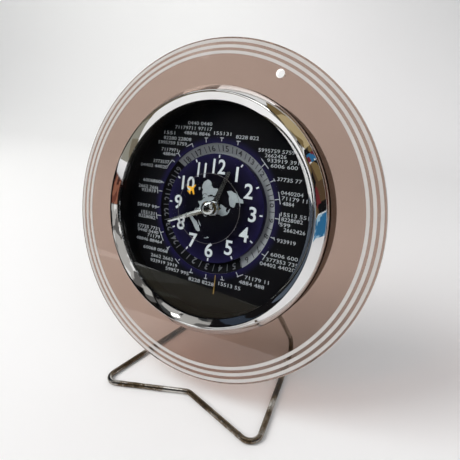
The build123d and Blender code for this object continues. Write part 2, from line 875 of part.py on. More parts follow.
with BuildPart() as movement_cover:
    with BuildSketch(dial_plane(cover_back)):
        RectangleRounded(movement_size, movement_size, movement_corner)
    extrude(amount=cover_plate)
    with BuildSketch(dial_plane(cover_front)):
        with Locations(*post_places):
            Circle(post_radius)
    extrude(amount=cover_boss_gap)
    with BuildSketch(dial_plane(cover_back, (0, battery_up))):
        Rectangle(opening_length, opening_height)
    extrude(amount=cover_plate, mode=Mode.SUBTRACT)
    with BuildSketch(dial_plane(cover_back, setting_place)):
        Circle(setting_shaft_radius + running_clearance)
    extrude(amount=cover_plate, mode=Mode.SUBTRACT)
movement_cover.part.label = "movement_cover"
export_step(movement_cover.part, "parts/movement_cover.step")


def bay_plane(right):
    """A plane across the battery's bay, looking to the right."""
    origin = disc_centre + dial_offset(right, battery_up, battery_depth)
    return Plane(origin, x_dir=dial_up, z_dir=(1, 0, 0))


with BuildPart() as battery:
    with BuildSketch(bay_plane(battery_start)):
        Circle(battery_radius)
    extrude(amount=battery_body_length)
    with BuildSketch(bay_plane(battery_start + battery_body_length)):
        Circle(battery_nub_radius)
    extrude(amount=battery_nub_length)
battery.part.label = "battery"
export_step(battery.part, "parts/battery.step")

# The negative contact: a plate and a coned coil, drawn as a thin cone
with BuildPart() as battery_spring:
    with BuildSketch(bay_plane(-inside_half)):
        Rectangle(contact_width, contact_width)
    extrude(amount=contact_thickness)
    with BuildSketch(bay_plane(-inside_half + contact_thickness)):
        Circle(spring_large_radius)
        Circle(spring_large_radius - spring_wire, mode=Mode.SUBTRACT)
    with BuildSketch(bay_plane(battery_start)):
        Circle(spring_small_radius)
        Circle(spring_small_radius - spring_wire, mode=Mode.SUBTRACT)
    loft()
battery_spring.part.label = "battery_spring"
export_step(battery_spring.part, "parts/battery_spring.step")

with BuildPart() as battery_plate:
    with BuildSketch(bay_plane(inside_half - contact_thickness)):
        Rectangle(contact_width, contact_width)
    extrude(amount=contact_thickness)
battery_plate.part.label = "battery_plate"
export_step(battery_plate.part, "parts/battery_plate.step")

# Motion work: cannon pinion, minute wheel and hour wheel, in mesh
minute_wheel_turn = meshing_turn(cannon_teeth, 0, minute_wheel_teeth, minute_wheel_angle)
hour_wheel_turn = meshing_turn(minute_pinion_teeth, 0, hour_wheel_teeth, minute_wheel_angle + 180)
setting_turn = meshing_turn(minute_wheel_teeth, minute_wheel_turn, setting_teeth, setting_angle)
cannon_back = centre_wheel_back - running_clearance - cannon_flange
minute_boss_top = minute_hand_depth + hand_boss
hour_boss_top = hour_hand_depth + hand_boss
with BuildPart() as cannon_pinion:
    with BuildSketch(dial_plane(cannon_back)):
        Circle(cannon_radius)
    extrude(amount=minute_boss_top - cannon_back)
    with BuildSketch(dial_plane(minute_wheel_back)):
        gear(cannon_teeth, motion_module)
    extrude(amount=motion_thickness)
    with BuildSketch(dial_plane(cannon_back)):
        Circle(cannon_flange_radius)
    extrude(amount=cannon_flange)
    with BuildSketch(dial_plane(cannon_back)):
        Circle(pivot_hole_radius)
    extrude(amount=minute_boss_top - cannon_back, mode=Mode.SUBTRACT)
cannon_pinion.part.label = "cannon_pinion"
export_step(cannon_pinion.part, "parts/cannon_pinion.step")

with BuildPart() as minute_wheel:
    with BuildSketch(dial_plane(middle_back, minute_wheel_place)):
        Circle(motion_arbor_radius)
    extrude(amount=movement_front - pivot_short - middle_back)
    with BuildSketch(dial_plane(minute_wheel_back, minute_wheel_place)):
        gear(minute_wheel_teeth, motion_module, minute_wheel_turn)
    extrude(amount=motion_thickness)
    with BuildSketch(dial_plane(hour_wheel_back, minute_wheel_place)):
        gear(minute_pinion_teeth, motion_module)
    extrude(amount=motion_thickness)
minute_wheel.part.label = "minute_wheel"
export_step(minute_wheel.part, "parts/minute_wheel.step")

# The hour wheel's pipe also carries the pinion that drives the day ring
day_wheel_turn = meshing_turn(idler_pinion_teeth, 0, day_wheel_teeth, idler_angle + 180)
idler_wheel_turn = meshing_turn(hour_pinion_teeth, 0, idler_wheel_teeth, idler_angle)
with BuildPart() as hour_wheel:
    with BuildSketch(dial_plane(hour_wheel_back)):
        Circle(hour_pipe_radius)
    extrude(amount=hour_boss_top - hour_wheel_back)
    with BuildSketch(dial_plane(hour_wheel_back)):
        gear(hour_wheel_teeth, motion_module, hour_wheel_turn)
    extrude(amount=motion_thickness)
    with BuildSketch(dial_plane(hour_pinion_back)):
        gear(hour_pinion_teeth, day_module)
    extrude(amount=motion_thickness)
    with BuildSketch(dial_plane(hour_wheel_back)):
        Circle(cannon_radius + running_clearance)
    extrude(amount=hour_boss_top - hour_wheel_back, mode=Mode.SUBTRACT)
hour_wheel.part.label = "hour_wheel"
export_step(hour_wheel.part, "parts/hour_wheel.step")

with BuildPart() as day_idler:
    with BuildSketch(dial_plane(middle_back, idler_place)):
        Circle(idler_arbor_radius)
    extrude(amount=movement_front + level_gap - middle_back)
    with BuildSketch(dial_plane(hour_pinion_back, idler_place)):
        gear(idler_wheel_teeth, day_module, idler_wheel_turn)
    extrude(amount=motion_thickness)
    with BuildSketch(dial_plane(movement_front + level_gap, idler_place)):
        gear(idler_pinion_teeth, day_module)
    extrude(amount=idler_pinion_thickness)
day_idler.part.label = "day_idler"
export_step(day_idler.part, "parts/day_idler.step")

# The day wheel turns on the bush and carries the day dish on its collar
day_wheel_back = movement_front + day_wheel_seat_gap
with BuildPart() as day_wheel:
    with BuildSketch(dial_plane(day_wheel_back)):
        gear(day_wheel_teeth, day_module, day_wheel_turn)
    extrude(amount=dish_back - day_wheel_back)
    with BuildSketch(dial_plane(dish_back)):
        Circle(day_collar_radius)
    extrude(amount=dish_wall + day_collar_rise)
    with BuildSketch(dial_plane(day_wheel_back)):
        Circle(bush_radius + running_clearance)
    extrude(amount=dish_floor_depth + day_collar_rise - day_wheel_back, mode=Mode.SUBTRACT)
day_wheel.part.label = "day_wheel"
export_step(day_wheel.part, "parts/day_wheel.step")

# The setting arbor meshes with the minute wheel, and the knob is pressed on its end
with BuildPart() as setting_arbor:
    with BuildSketch(dial_plane(minute_wheel_back, setting_place)):
        Circle(motion_arbor_radius)
    extrude(amount=movement_front - pivot_short - minute_wheel_back)
    with BuildSketch(dial_plane(minute_wheel_back, setting_place)):
        gear(setting_teeth, motion_module, setting_turn)
    extrude(amount=motion_thickness)
    with BuildSketch(dial_plane(setting_arbor_end, setting_place)):
        Circle(setting_shaft_radius)
    extrude(amount=minute_wheel_back - setting_arbor_end)
setting_arbor.part.label = "setting_arbor"
export_step(setting_arbor.part, "parts/setting_arbor.step")

with BuildPart() as setting_knob:
    with BuildSketch(dial_plane(knob_back, setting_place)):
        Circle(knob_radius)
        with PolarLocations(knob_radius, knob_groove_count):
            Circle(knob_groove_radius, mode=Mode.SUBTRACT)
    extrude(amount=knob_height)
    with BuildSketch(dial_plane(setting_arbor_end, setting_place)):
        Circle(setting_shaft_radius)
    extrude(amount=knob_grip, mode=Mode.SUBTRACT)
setting_knob.part.label = "setting_knob"
export_step(setting_knob.part, "parts/setting_knob.step")

# Going train: rotor, fifth wheel, second wheel, third wheel and centre wheel
centre_wheel_turn = meshing_turn(leaf_count, 0, centre_wheel_teeth, third_angle + 180)
third_wheel_turn = meshing_turn(leaf_count, 0, third_wheel_teeth, third_angle)
second_wheel_turn = meshing_turn(leaf_count, 0, second_wheel_teeth, fifth_angle + 180)
fifth_wheel_turn = meshing_turn(leaf_count, 0, fifth_wheel_teeth, rotor_angle + 180)
train_pivot_length = middle_front - bridge_back - 2 * pivot_short
with BuildPart() as centre_wheel:
    with BuildSketch(dial_plane(centre_wheel_back)):
        gear(centre_wheel_teeth, centre_module, centre_wheel_turn)
        Circle(cannon_radius + running_clearance, mode=Mode.SUBTRACT)
    extrude(amount=wheel_thickness)
centre_wheel.part.label = "centre_wheel"
export_step(centre_wheel.part, "parts/centre_wheel.step")

with BuildPart() as third_wheel:
    with BuildSketch(dial_plane(bridge_back + pivot_short, third_place)):
        Circle(arbor_radius)
    extrude(amount=train_pivot_length)
    with BuildSketch(dial_plane(third_wheel_back, third_place)):
        gear(third_wheel_teeth, train_module, third_wheel_turn)
    extrude(amount=wheel_thickness)
    with BuildSketch(dial_plane(centre_wheel_back, third_place)):
        gear(leaf_count, centre_module)
    extrude(amount=wheel_thickness)
third_wheel.part.label = "third_wheel"
export_step(third_wheel.part, "parts/third_wheel.step")

with BuildPart() as second_arbor:
    with BuildSketch(dial_plane(bridge_back + pivot_short)):
        Circle(arbor_radius)
    extrude(amount=second_arbor_top - bridge_back - pivot_short)
    with BuildSketch(dial_plane(third_wheel_back)):
        gear(leaf_count, train_module)
    extrude(amount=wheel_thickness)
    with BuildSketch(dial_plane(second_wheel_back)):
        gear(second_wheel_teeth, second_module, second_wheel_turn)
    extrude(amount=wheel_thickness)
second_arbor.part.label = "second_arbor"
export_step(second_arbor.part, "parts/second_arbor.step")

with BuildPart() as fifth_wheel:
    with BuildSketch(dial_plane(bridge_back + pivot_short, fifth_place)):
        Circle(arbor_radius)
    extrude(amount=train_pivot_length)
    with BuildSketch(dial_plane(second_wheel_back, fifth_place)):
        gear(leaf_count, second_module)
    extrude(amount=wheel_thickness)
    with BuildSketch(dial_plane(fifth_wheel_back, fifth_place)):
        gear(fifth_wheel_teeth, train_module, fifth_wheel_turn)
    extrude(amount=wheel_thickness)
fifth_wheel.part.label = "fifth_wheel"
export_step(fifth_wheel.part, "parts/fifth_wheel.step")

# The motor: rotor, stator, and a coil on a straight core
magnet_back = centre_wheel_back - magnet_length + wheel_thickness - magnet_drop
with BuildPart() as rotor_pinion:
    with BuildSketch(dial_plane(bridge_back + pivot_short, rotor_place)):
        Circle(rotor_arbor_radius)
    extrude(amount=train_pivot_length)
    with BuildSketch(dial_plane(fifth_wheel_back, rotor_place)):
        gear(leaf_count, train_module)
    extrude(amount=wheel_thickness)
rotor_pinion.part.label = "rotor_pinion"
export_step(rotor_pinion.part, "parts/rotor_pinion.step")

with BuildPart() as rotor_magnet:
    with BuildSketch(dial_plane(magnet_back, rotor_place)):
        Circle(magnet_radius)
        Circle(rotor_arbor_radius, mode=Mode.SUBTRACT)
    extrude(amount=magnet_length)
rotor_magnet.part.label = "rotor_magnet"
export_step(rotor_magnet.part, "parts/rotor_magnet.step")

stator_back = stator_front - stator_thickness
stator_width = stator_right - stator_left
stator_height = stator_top - stator_bottom
stator_middle = ((stator_left + stator_right) / 2, (stator_top + stator_bottom) / 2)
window_height = stator_height - 2 * coil_arm
window_left = coil_place - coil_window_half
with BuildPart() as stator:
    with BuildSketch(dial_plane(stator_back, stator_middle)):
        Rectangle(stator_width, stator_height)
    extrude(amount=stator_thickness)
    with BuildSketch(dial_plane(stator_back, (window_left, stator_middle[1]))):
        Rectangle(
            stator_right - window_left + cut_overrun, window_height, align=(Align.MIN, Align.CENTER)
        )
    extrude(amount=stator_thickness, mode=Mode.SUBTRACT)
    with BuildSketch(dial_plane(stator_back, rotor_place)):
        Circle(magnet_radius + stator_gap)
    extrude(amount=stator_thickness, mode=Mode.SUBTRACT)
stator.part.label = "stator"
export_step(stator.part, "parts/stator.step")

core_back = stator_back - stator_thickness
core_middle_depth = stator_back - stator_thickness / 2
with BuildPart() as coil_core:
    with BuildSketch(dial_plane(core_back, (coil_place, stator_middle[1]))):
        Rectangle(core_width, stator_height)
    extrude(amount=stator_thickness)
coil_core.part.label = "coil_core"
export_step(coil_core.part, "parts/coil_core.step")


def coil_plane(up):
    """A plane across the coil, looking up along it."""
    origin = disc_centre + dial_offset(coil_place, up, core_middle_depth)
    return Plane(origin, x_dir=(1, 0, 0), z_dir=dial_up)


bobbin_start = stator_middle[1] - window_height / 2 + level_gap
bobbin_length = window_height - 2 * level_gap
bobbin_radius = core_width / 2 + bobbin_bore_wall
with BuildPart() as coil_bobbin:
    with BuildSketch(coil_plane(bobbin_start)):
        Circle(bobbin_radius)
    extrude(amount=bobbin_length)
    for flange_start in (bobbin_start, bobbin_start + bobbin_length - bobbin_flange):
        with BuildSketch(coil_plane(flange_start)):
            Circle(coil_radius)
        extrude(amount=bobbin_flange)
    with BuildSketch(coil_plane(bobbin_start)):
        Rectangle(core_width, stator_thickness)
    extrude(amount=bobbin_length, mode=Mode.SUBTRACT)
coil_bobbin.part.label = "coil_bobbin"
export_step(coil_bobbin.part, "parts/coil_bobbin.step")

with BuildPart() as coil_winding:
    with BuildSketch(coil_plane(bobbin_start + bobbin_flange)):
        Circle(coil_radius)
        Circle(bobbin_radius, mode=Mode.SUBTRACT)
    extrude(amount=bobbin_length - 2 * bobbin_flange)
coil_winding.part.label = "coil_winding"
export_step(coil_winding.part, "parts/coil_winding.step")

# The circuit board on the back of the middle plate
board_left = -inside_half + board_left_inset
board_right = fifth_place[0] - fifth_reach - board_side_gap
board_bottom = third_reach + board_lower_gap
board_top = inside_half - board_upper_inset
board_middle = ((board_left + board_right) / 2, (board_bottom + board_top) / 2)
board_back = middle_back - board_thickness
with BuildPart() as circuit_board:
    with BuildSketch(dial_plane(board_back, board_middle)):
        Rectangle(board_right - board_left, board_top - board_bottom)
    extrude(amount=board_thickness)
circuit_board.part.label = "circuit_board"
export_step(circuit_board.part, "parts/circuit_board.step")

with BuildPart() as chip:
    with BuildSketch(dial_plane(board_back - chip_height, (board_middle[0], board_bottom + chip_inset))):
        Circle(chip_radius)
    extrude(amount=chip_height)
chip.part.label = "chip"
export_step(chip.part, "parts/chip.step")

crystal_origin = disc_centre + dial_offset(
    board_middle[0] - crystal_length / 2, board_top - crystal_inset, board_back - crystal_radius
)
with BuildPart() as quartz_crystal:
    with BuildSketch(Plane(crystal_origin, x_dir=dial_up, z_dir=(1, 0, 0))):
        Circle(crystal_radius)
    extrude(amount=crystal_length)
quartz_crystal.part.label = "quartz_crystal"
export_step(quartz_crystal.part, "parts/quartz_crystal.step")


def hand_plane(depth, clock_angle):
    """A plane on which a hand at that angle, clockwise from twelve, points along its own Y."""
    along_x = Vector(cos(radians(clock_angle)), 0, 0) - dial_up * sin(radians(clock_angle))
    return Plane(disc_centre + dial_out * depth, x_dir=along_x, z_dir=dial_out)


def hand_blade(length, root, tip):
    """A tapering blade with a blunt point."""
    return Polygon(
        (-root / 2, 0),
        (root / 2, 0),
        (tip / 2, length - hand_point),
        (0, length),
        (-tip / 2, length - hand_point),
        align=None,
    )


with BuildPart() as hour_hand:
    with BuildSketch(hand_plane(hour_hand_depth, hour_hand_angle)):
        hand_blade(hour_hand_length, hour_hand_root, hour_hand_tip)
    extrude(amount=hand_thickness)
    with BuildSketch(dial_plane(hour_hand_depth)):
        Circle(hand_boss_radius)
    extrude(amount=hand_boss)
    with BuildSketch(dial_plane(hour_hand_depth)):
        Circle(hour_pipe_radius)
    extrude(amount=hand_boss, mode=Mode.SUBTRACT)
hour_hand.part.label = "hour_hand"
export_step(hour_hand.part, "parts/hour_hand.step")

with BuildPart() as minute_hand:
    with BuildSketch(hand_plane(minute_hand_depth, minute_hand_angle)):
        hand_blade(minute_hand_length, minute_hand_root, minute_hand_tip)
    extrude(amount=hand_thickness)
    with BuildSketch(dial_plane(minute_hand_depth)):
        Circle(hand_boss_radius)
    extrude(amount=hand_boss)
    with BuildSketch(dial_plane(minute_hand_depth)):
        Circle(cannon_radius)
    extrude(amount=hand_boss, mode=Mode.SUBTRACT)
minute_hand.part.label = "minute_hand"
export_step(minute_hand.part, "parts/minute_hand.step")

with BuildPart() as seconds_collar:
    with BuildSketch(dial_plane(collar_depth)):
        Circle(collar_radius)
        Circle(arbor_radius, mode=Mode.SUBTRACT)
    extrude(amount=collar_length)
seconds_collar.part.label = "seconds_collar"
export_step(seconds_collar.part, "parts/seconds_collar.step")

with BuildPart() as seconds_disc:
    with BuildSketch(dial_plane(seconds_back)):
        Circle(seconds_disc_radius)
        Circle(arbor_radius, mode=Mode.SUBTRACT)
    extrude(amount=seconds_disc_thickness)
seconds_disc.part.label = "seconds_disc"
export_step(seconds_disc.part, "parts/seconds_disc.step")

# The chromed cap: a short rim and a dome, pressed on the end of the arbor
with BuildPart() as hub_cap:
    with BuildSketch(profile_plane):
        with BuildLine():
            Polyline(
                (0, hub_top),
                (0, second_arbor_top),
                (arbor_radius, second_arbor_top),
                (arbor_radius, seconds_front),
                (hub_radius, seconds_front),
                (hub_radius, hub_rim_top),
            )
            TangentArc((hub_radius, hub_rim_top), (hub_crown_radius, hub_top), tangent=(0, 1))
            Line((hub_crown_radius, hub_top), (0, hub_top))
        make_face()
    revolve(axis=dial_axis)
hub_cap.part.label = "hub_cap"
export_step(hub_cap.part, "parts/hub_cap.step")

# A small generic aeroplane that flies round with the seconds disc
aeroplane_half = [(along * aeroplane_length, across * aeroplane_length)
                  for along, across in aeroplane_outline_shares]
aeroplane_points = aeroplane_half + [(along, -across) for along, across in aeroplane_half[-2:0:-1]]
aeroplane_right = aeroplane_distance * sin(radians(seconds_angle))
aeroplane_up = aeroplane_distance * cos(radians(seconds_angle))
aeroplane_heading = Vector(cos(radians(seconds_angle)), 0, 0) - dial_up * sin(radians(seconds_angle))
aeroplane_plane = Plane(
    disc_centre + dial_offset(aeroplane_right, aeroplane_up, seconds_front),
    x_dir=aeroplane_heading,
    z_dir=dial_out,
)
with BuildPart() as aeroplane:
    with BuildSketch(aeroplane_plane):
        Polygon(*aeroplane_points, align=None)
    extrude(amount=aeroplane_thickness)
aeroplane.part.label = "aeroplane"
export_step(aeroplane.part, "parts/aeroplane.step")
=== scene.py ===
"""A world time clock: a clear disc round a chromed bezel, a dial with a day ring, and a wire stand."""

import json
import math

import bmesh
import bpy
from bpy.props import FloatProperty, FloatVectorProperty, IntProperty, PointerProperty
from mathutils import Matrix, Vector


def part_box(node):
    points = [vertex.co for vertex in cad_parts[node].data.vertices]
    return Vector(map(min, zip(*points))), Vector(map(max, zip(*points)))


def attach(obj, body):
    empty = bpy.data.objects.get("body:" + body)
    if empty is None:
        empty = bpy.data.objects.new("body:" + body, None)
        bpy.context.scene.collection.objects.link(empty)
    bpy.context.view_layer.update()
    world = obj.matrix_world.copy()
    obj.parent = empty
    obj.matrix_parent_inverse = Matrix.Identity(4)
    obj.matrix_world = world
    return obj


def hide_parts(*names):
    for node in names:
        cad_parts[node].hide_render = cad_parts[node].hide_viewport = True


bl_info = {
    "name": "World Time Clock",
    "version": (1, 0, 0),
    "blender": (4, 5, 0),
    "location": "View3D > Sidebar > Clock",
    "description": "Dresses the packed world time clock with its dial, glass, metal and stand",
    "category": "Object",
}

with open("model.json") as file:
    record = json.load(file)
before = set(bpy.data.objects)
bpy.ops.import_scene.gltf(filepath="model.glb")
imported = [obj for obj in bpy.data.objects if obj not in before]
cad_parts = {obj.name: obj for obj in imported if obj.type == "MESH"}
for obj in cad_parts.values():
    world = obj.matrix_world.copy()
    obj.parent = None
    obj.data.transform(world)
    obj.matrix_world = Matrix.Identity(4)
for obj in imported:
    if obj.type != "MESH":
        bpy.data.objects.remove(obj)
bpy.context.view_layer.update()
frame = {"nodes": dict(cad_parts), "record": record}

MM = 0.001

# The dial faces against the hanging hole's axis, and its centre is the middle of the disc's front face
HANGING_HOLE = frame["record"]["mounts"][0]
DIAL_OUT = -Vector(HANGING_HOLE["axis"]).normalized()
DIAL_TURN = math.atan2(-DIAL_OUT.y, DIAL_OUT.z)
DISC_THICKNESS = HANGING_HOLE["dims"]["length_mm"]
DIAL_CENTRE = sum(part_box("disc_panel"), Vector()) / 2 + DIAL_OUT * DISC_THICKNESS / 2 * MM


def arms_of(node):
    """The ways from the dial's centre to all the points of a node."""
    return [vertex.co - DIAL_CENTRE for vertex in frame["nodes"][node].data.vertices]


def front_of(node):
    """How far a node's foremost point stands in front of the disc, in millimetres."""
    return max(arm.dot(DIAL_OUT) for arm in arms_of(node)) / MM


def back_of(node):
    """How far a node's rearmost point stands in front of the disc, in millimetres."""
    return min(arm.dot(DIAL_OUT) for arm in arms_of(node)) / MM


def radius_of(node):
    """The distance of a node's farthest point from the dial's axis, in millimetres."""
    return max((arm - DIAL_OUT * arm.dot(DIAL_OUT)).length for arm in arms_of(node)) / MM


def linear(red, green, blue):
    """A colour given as 0 to 255 on a screen, in the linear values that shaders take."""
    return tuple(
        part / 12.92 if part <= 0.04045 else ((part + 0.055) / 1.055) ** 2.4
        for part in (red / 255, green / 255, blue / 255)
    )


def length_setting(name, description, default, low, high):
    """A length given in millimetres, kept in metres so that the panel shows it in the scene's unit."""
    return FloatProperty(
        name=name, description=description, default=default * MM, min=low * MM, max=high * MM,
        subtype="DISTANCE", unit="LENGTH", precision=5,
    )


def colour_setting(name, description, default):
    return FloatVectorProperty(
        name=name, description=description, default=default, subtype="COLOR", size=3, min=0.0, max=1.0
    )


class ClockSizes(bpy.types.PropertyGroup):
    """Sizes of the printed details, and how finely the round pieces are made."""

    numeral_height: length_setting("Hour numeral height", "Height of the hours 1 to 12", 8.8, 4.0, 10.0)
    zone_print_height: length_setting("Zone print height", "Height of the small print", 2.1, 1.0, 3.0)
    day_print_height: length_setting("Day print height", "Height of the 24 numbers", 4.0, 2.0, 4.5)
    print_thickness: length_setting("Print thickness", "Thickness of all the print", 0.03, 0.01, 0.2)
    line_width: length_setting("Mark width", "Width of the zone marks and the day bars", 0.42, 0.2, 1.0)
    map_scale: FloatProperty(
        name="Map scale", description="Millimetres on the dial for each degree from the pole",
        default=0.142, min=0.1, max=0.16,
    )
    spin_steps: IntProperty(
        name="Round steps", description="Steps round a full turn of the bezel and the glass",
        default=192, min=32, max=256,
    )


class ClockColours(bpy.types.PropertyGroup):
    """Colours of the clock's finishes."""

    acrylic: colour_setting("Acrylic tint", "Tint of the clear disc", (0.465, 0.338, 0.28))
    rings: colour_setting("Ring print", "Silver-white print of the rings", linear(195, 191, 188))
    dial_black: colour_setting("Dial black", "Ground colour of the dial", linear(11, 11, 15))
    indigo: colour_setting("Dial indigo", "Violet-blue glow round the day ring", linear(24, 19, 56))
    day_silver: colour_setting("Day silver", "Daylight half of the day ring", linear(136, 137, 142))
    numerals: colour_setting("Numerals", "Hour numerals and ticks", linear(206, 210, 214))
    zone_print: colour_setting("Zone print", "Small print round the dial", linear(178, 180, 186))
    land: colour_setting("Land", "Land on the map", linear(162, 169, 174))
    date_line: colour_setting("Date line", "Thin yellow line at the foot of the dial", linear(150, 118, 40))
    aeroplane: colour_setting("Aeroplane", "Small aeroplane on the seconds disc", linear(245, 178, 20))
    case: colour_setting("Case", "Moulded case behind the disc", linear(112, 85, 57))


def colours():
    return bpy.context.scene.clock_colours


def setting(name):
    """A length from the settings, in millimetres."""
    return getattr(bpy.context.scene.clock_sizes, name) / MM


def new_material(name):
    """A material, its node tree and its main shader."""
    material = bpy.data.materials.new(name)
    material.use_nodes = True
    return material, material.node_tree, material.node_tree.nodes["Principled BSDF"]


def feed(tree, node, inputs):
    """Sets inputs of a node to values, or joins them to the outputs of other nodes."""
    for name, value in inputs.items():
        if isinstance(value, bpy.types.NodeSocket):
            tree.links.new(value, node.inputs[name])
        else:
            node.inputs[name].default_value = value


def add_node(tree, kind, inputs, output=0, **settings):
    """Adds a shader node and returns one of its outputs."""
    node = tree.nodes.new("ShaderNode" + kind)
    for name, value in settings.items():
        setattr(node, name, value)
    feed(tree, node, inputs)
    return node.outputs[output]


def calculate(tree, operation, first, second):
    return add_node(tree, "Math", {0: first, 1: second}, operation=operation)


def blend(tree, share, first, second):
    return add_node(tree, "MixShader", {0: share, 1: first, 2: second})


def place_on_piece(tree, stretch=(1, 1, 1)):
    """Object coordinates, stretched where a finish has a direction."""
    place = add_node(tree, "TexCoord", {}, "Object")
    return add_node(tree, "Mapping", {"Vector": place, "Scale": stretch})


def place_on_dial(tree):
    """Object coordinates turned and moved so that X and Y lie in the dial, from its centre."""
    place = add_node(tree, "TexCoord", {}, "Object")
    inputs = {"Vector": place, "Location": DIAL_CENTRE, "Rotation": (DIAL_TURN, 0, 0)}
    return add_node(tree, "Mapping", inputs, vector_type="TEXTURE")


def noise(tree, place, scale, detail=3.0, roughness=0.5):
    inputs = {"Vector": place, "Scale": scale, "Detail": detail, "Roughness": roughness}
    return add_node(tree, "TexNoise", inputs, "Fac")


def ramp(tree, value, stops, interpolation="LINEAR"):
    """A colour ramp through (position, colour) stops."""
    node = tree.nodes.new("ShaderNodeValToRGB")
    node.color_ramp.interpolation = interpolation
    points = node.color_ramp.elements
    while len(points) < len(stops):
        points.new(0.5)
    for point, (position, colour) in zip(points, stops):
        point.position = position
        point.color = (*colour, 1)
    feed(tree, node, {"Fac": value})
    return node.outputs["Color"]


def spread(tree, value, low, high, span=(0.3, 0.7)):
    """A value, with its span drawn out or pressed to run from low to high."""
    inputs = {"Value": value, "From Min": span[0], "From Max": span[1], "To Min": low, "To Max": high}
    return add_node(tree, "MapRange", inputs, "Result")


def add_bump(tree, shader, height, strength, distance):
    inputs = {"Height": height, "Strength": strength, "Distance": distance}
    feed(tree, shader, {"Normal": add_node(tree, "Bump", inputs)})


def shade(colour, factor):
    return tuple(min(1.0, part * factor) for part in colour)


def grained(
    name, colour, roughness, metallic=0.0, grain=900.0, mottle=0.12, bump=0.15, stretch=(1, 1, 1), gloss=0.5
):
    """A finish with a fine grain and a broad, faint change of tone."""
    material, tree, shader = new_material(name)
    place = place_on_piece(tree, stretch)
    fine = noise(tree, place, grain, 4.0, 0.6)
    broad = noise(tree, place, grain / 12, 2.0)
    tones = ((0.3, shade(colour, 1 - mottle)), (0.7, shade(colour, 1 + mottle)))
    feed(tree, shader, {
        "Base Color": ramp(tree, broad, tones),
        "Roughness": spread(tree, fine, roughness * 0.8, min(1.0, roughness * 1.2)),
        "Metallic": metallic,
        "Specular IOR Level": gloss,
    })
    add_bump(tree, shader, fine, bump, 0.05 * MM)
    return material


def printed(name, colour, roughness=0.5, grain=2400.0, mottle=0.12):
    """A finish for print, with a shallow grain."""
    return grained(name, colour, roughness, grain=grain, mottle=mottle, bump=0.05)


def clear_material(name, tint, shadow_tint, refraction, smudge):
    """Clear plastic or glass with faint smudges, which tints the light of lamps and doesn't block it."""
    material, tree, shader = new_material(name)
    smear = noise(tree, place_on_piece(tree, (1, 1, 2)), 55.0, 4.0, 0.6)
    feed(tree, shader, {
        "Base Color": (*tint, 1),
        "Transmission Weight": 1.0,
        "IOR": refraction,
        "Roughness": spread(tree, smear, 0.0, smudge, (0.45, 0.75)),
    })
    shadow = add_node(tree, "LightPath", {}, "Is Shadow Ray")
    clear = add_node(tree, "BsdfTransparent", {"Color": (*shadow_tint, 1)})
    surface = blend(tree, shadow, shader.outputs["BSDF"], clear)
    feed(tree, tree.nodes["Material Output"], {"Surface": surface})
    return material


def chrome_material():
    """Polished chrome with hairline wear."""
    material, tree, shader = new_material("polished_chrome")
    place = place_on_piece(tree)
    wear = noise(tree, place, 420.0, 5.0, 0.7)
    haze = noise(tree, place, 35.0, 2.0)
    feed(tree, shader, {
        "Base Color": ramp(tree, haze, ((0.3, (0.74, 0.74, 0.735)), (0.7, (0.86, 0.86, 0.865)))),
        "Roughness": spread(tree, wear, 0.03, 0.11, (0.45, 0.8)),
        "Metallic": 1.0,
    })
    return material


def wire_material():
    """Nickel-plated wire, worn and gone brown in patches and speckles."""
    material, tree, shader = new_material("worn_nickel_wire")
    place = place_on_piece(tree)
    patches = spread(tree, noise(tree, place, 38.0, 3.0, 0.6), -0.25, 0.3, (0.38, 0.62))
    speckles = noise(tree, place, 950.0, 5.0, 0.75)
    worn = calculate(tree, "ADD", patches, speckles)
    tones = (
        (0.26, linear(198, 195, 190)), (0.44, linear(146, 139, 130)),
        (0.57, linear(100, 83, 60)), (0.73, linear(46, 35, 25)),
    )
    feed(tree, shader, {
        "Base Color": ramp(tree, worn, tones),
        "Metallic": spread(tree, worn, 1.0, 0.5, (0.5, 0.8)),
        "Roughness": spread(tree, worn, 0.14, 0.42, (0.3, 0.75)),
    })
    add_bump(tree, shader, worn, 0.5, 0.08 * MM)
    return material


def finish_as_print(tree, shader, tone, grain, rough, smooth, bump, depth):
    """Gives a shader the dull surface of the dial's print, in a tone."""
    fine = noise(tree, place_on_piece(tree), grain)
    feed(tree, shader, {
        "Base Color": tone,
        "Roughness": spread(tree, fine, smooth, rough),
        "Specular IOR Level": 0.1,
    })
    add_bump(tree, shader, fine, bump, depth * MM)


def dial_material(name, stops, reach):
    """Dial print whose colour changes with the distance from the centre, up to a reach in millimetres."""
    material, tree, shader = new_material(name)
    flat = add_node(tree, "VectorMath", {0: place_on_dial(tree), 1: (1, 1, 0)}, operation="MULTIPLY")
    distance = add_node(tree, "VectorMath", {0: flat}, "Value", operation="LENGTH")
    tone = ramp(tree, spread(tree, distance, 0.0, 1.0, (0.0, reach * MM)), stops)
    finish_as_print(tree, shader, tone, 2600.0, 0.48, 0.38, 0.05, 0.01)
    return material


def day_ring_material(day, night, first, last):
    """The day ring's print: daylight from the first share of a turn to the last, and night elsewhere."""
    material, tree, shader = new_material("day_and_night_print")
    turn = add_node(tree, "TexGradient", {"Vector": place_on_dial(tree)}, "Fac", gradient_type="RADIAL")
    tone = ramp(tree, turn, ((0.0, night), (first, day), (last, night)), "CONSTANT")
    finish_as_print(tree, shader, tone, 2200.0, 0.62, 0.5, 0.1, 0.02)
    return material


def on_dial(depth, place=(0, 0), turn=0.0, slope=0.0):
    """From a drawing in millimetres to the dial, at a depth and a place, turned and sloped by degrees."""
    turned = Matrix.Rotation(math.radians(turn), 4, "Z") @ Matrix.Rotation(math.radians(slope), 4, "X")
    return (
        Matrix.Translation(DIAL_CENTRE)
        @ Matrix.Rotation(DIAL_TURN, 4, "X")
        @ Matrix.Scale(MM, 4)
        @ Matrix.Translation((*place, depth))
        @ turned
    )


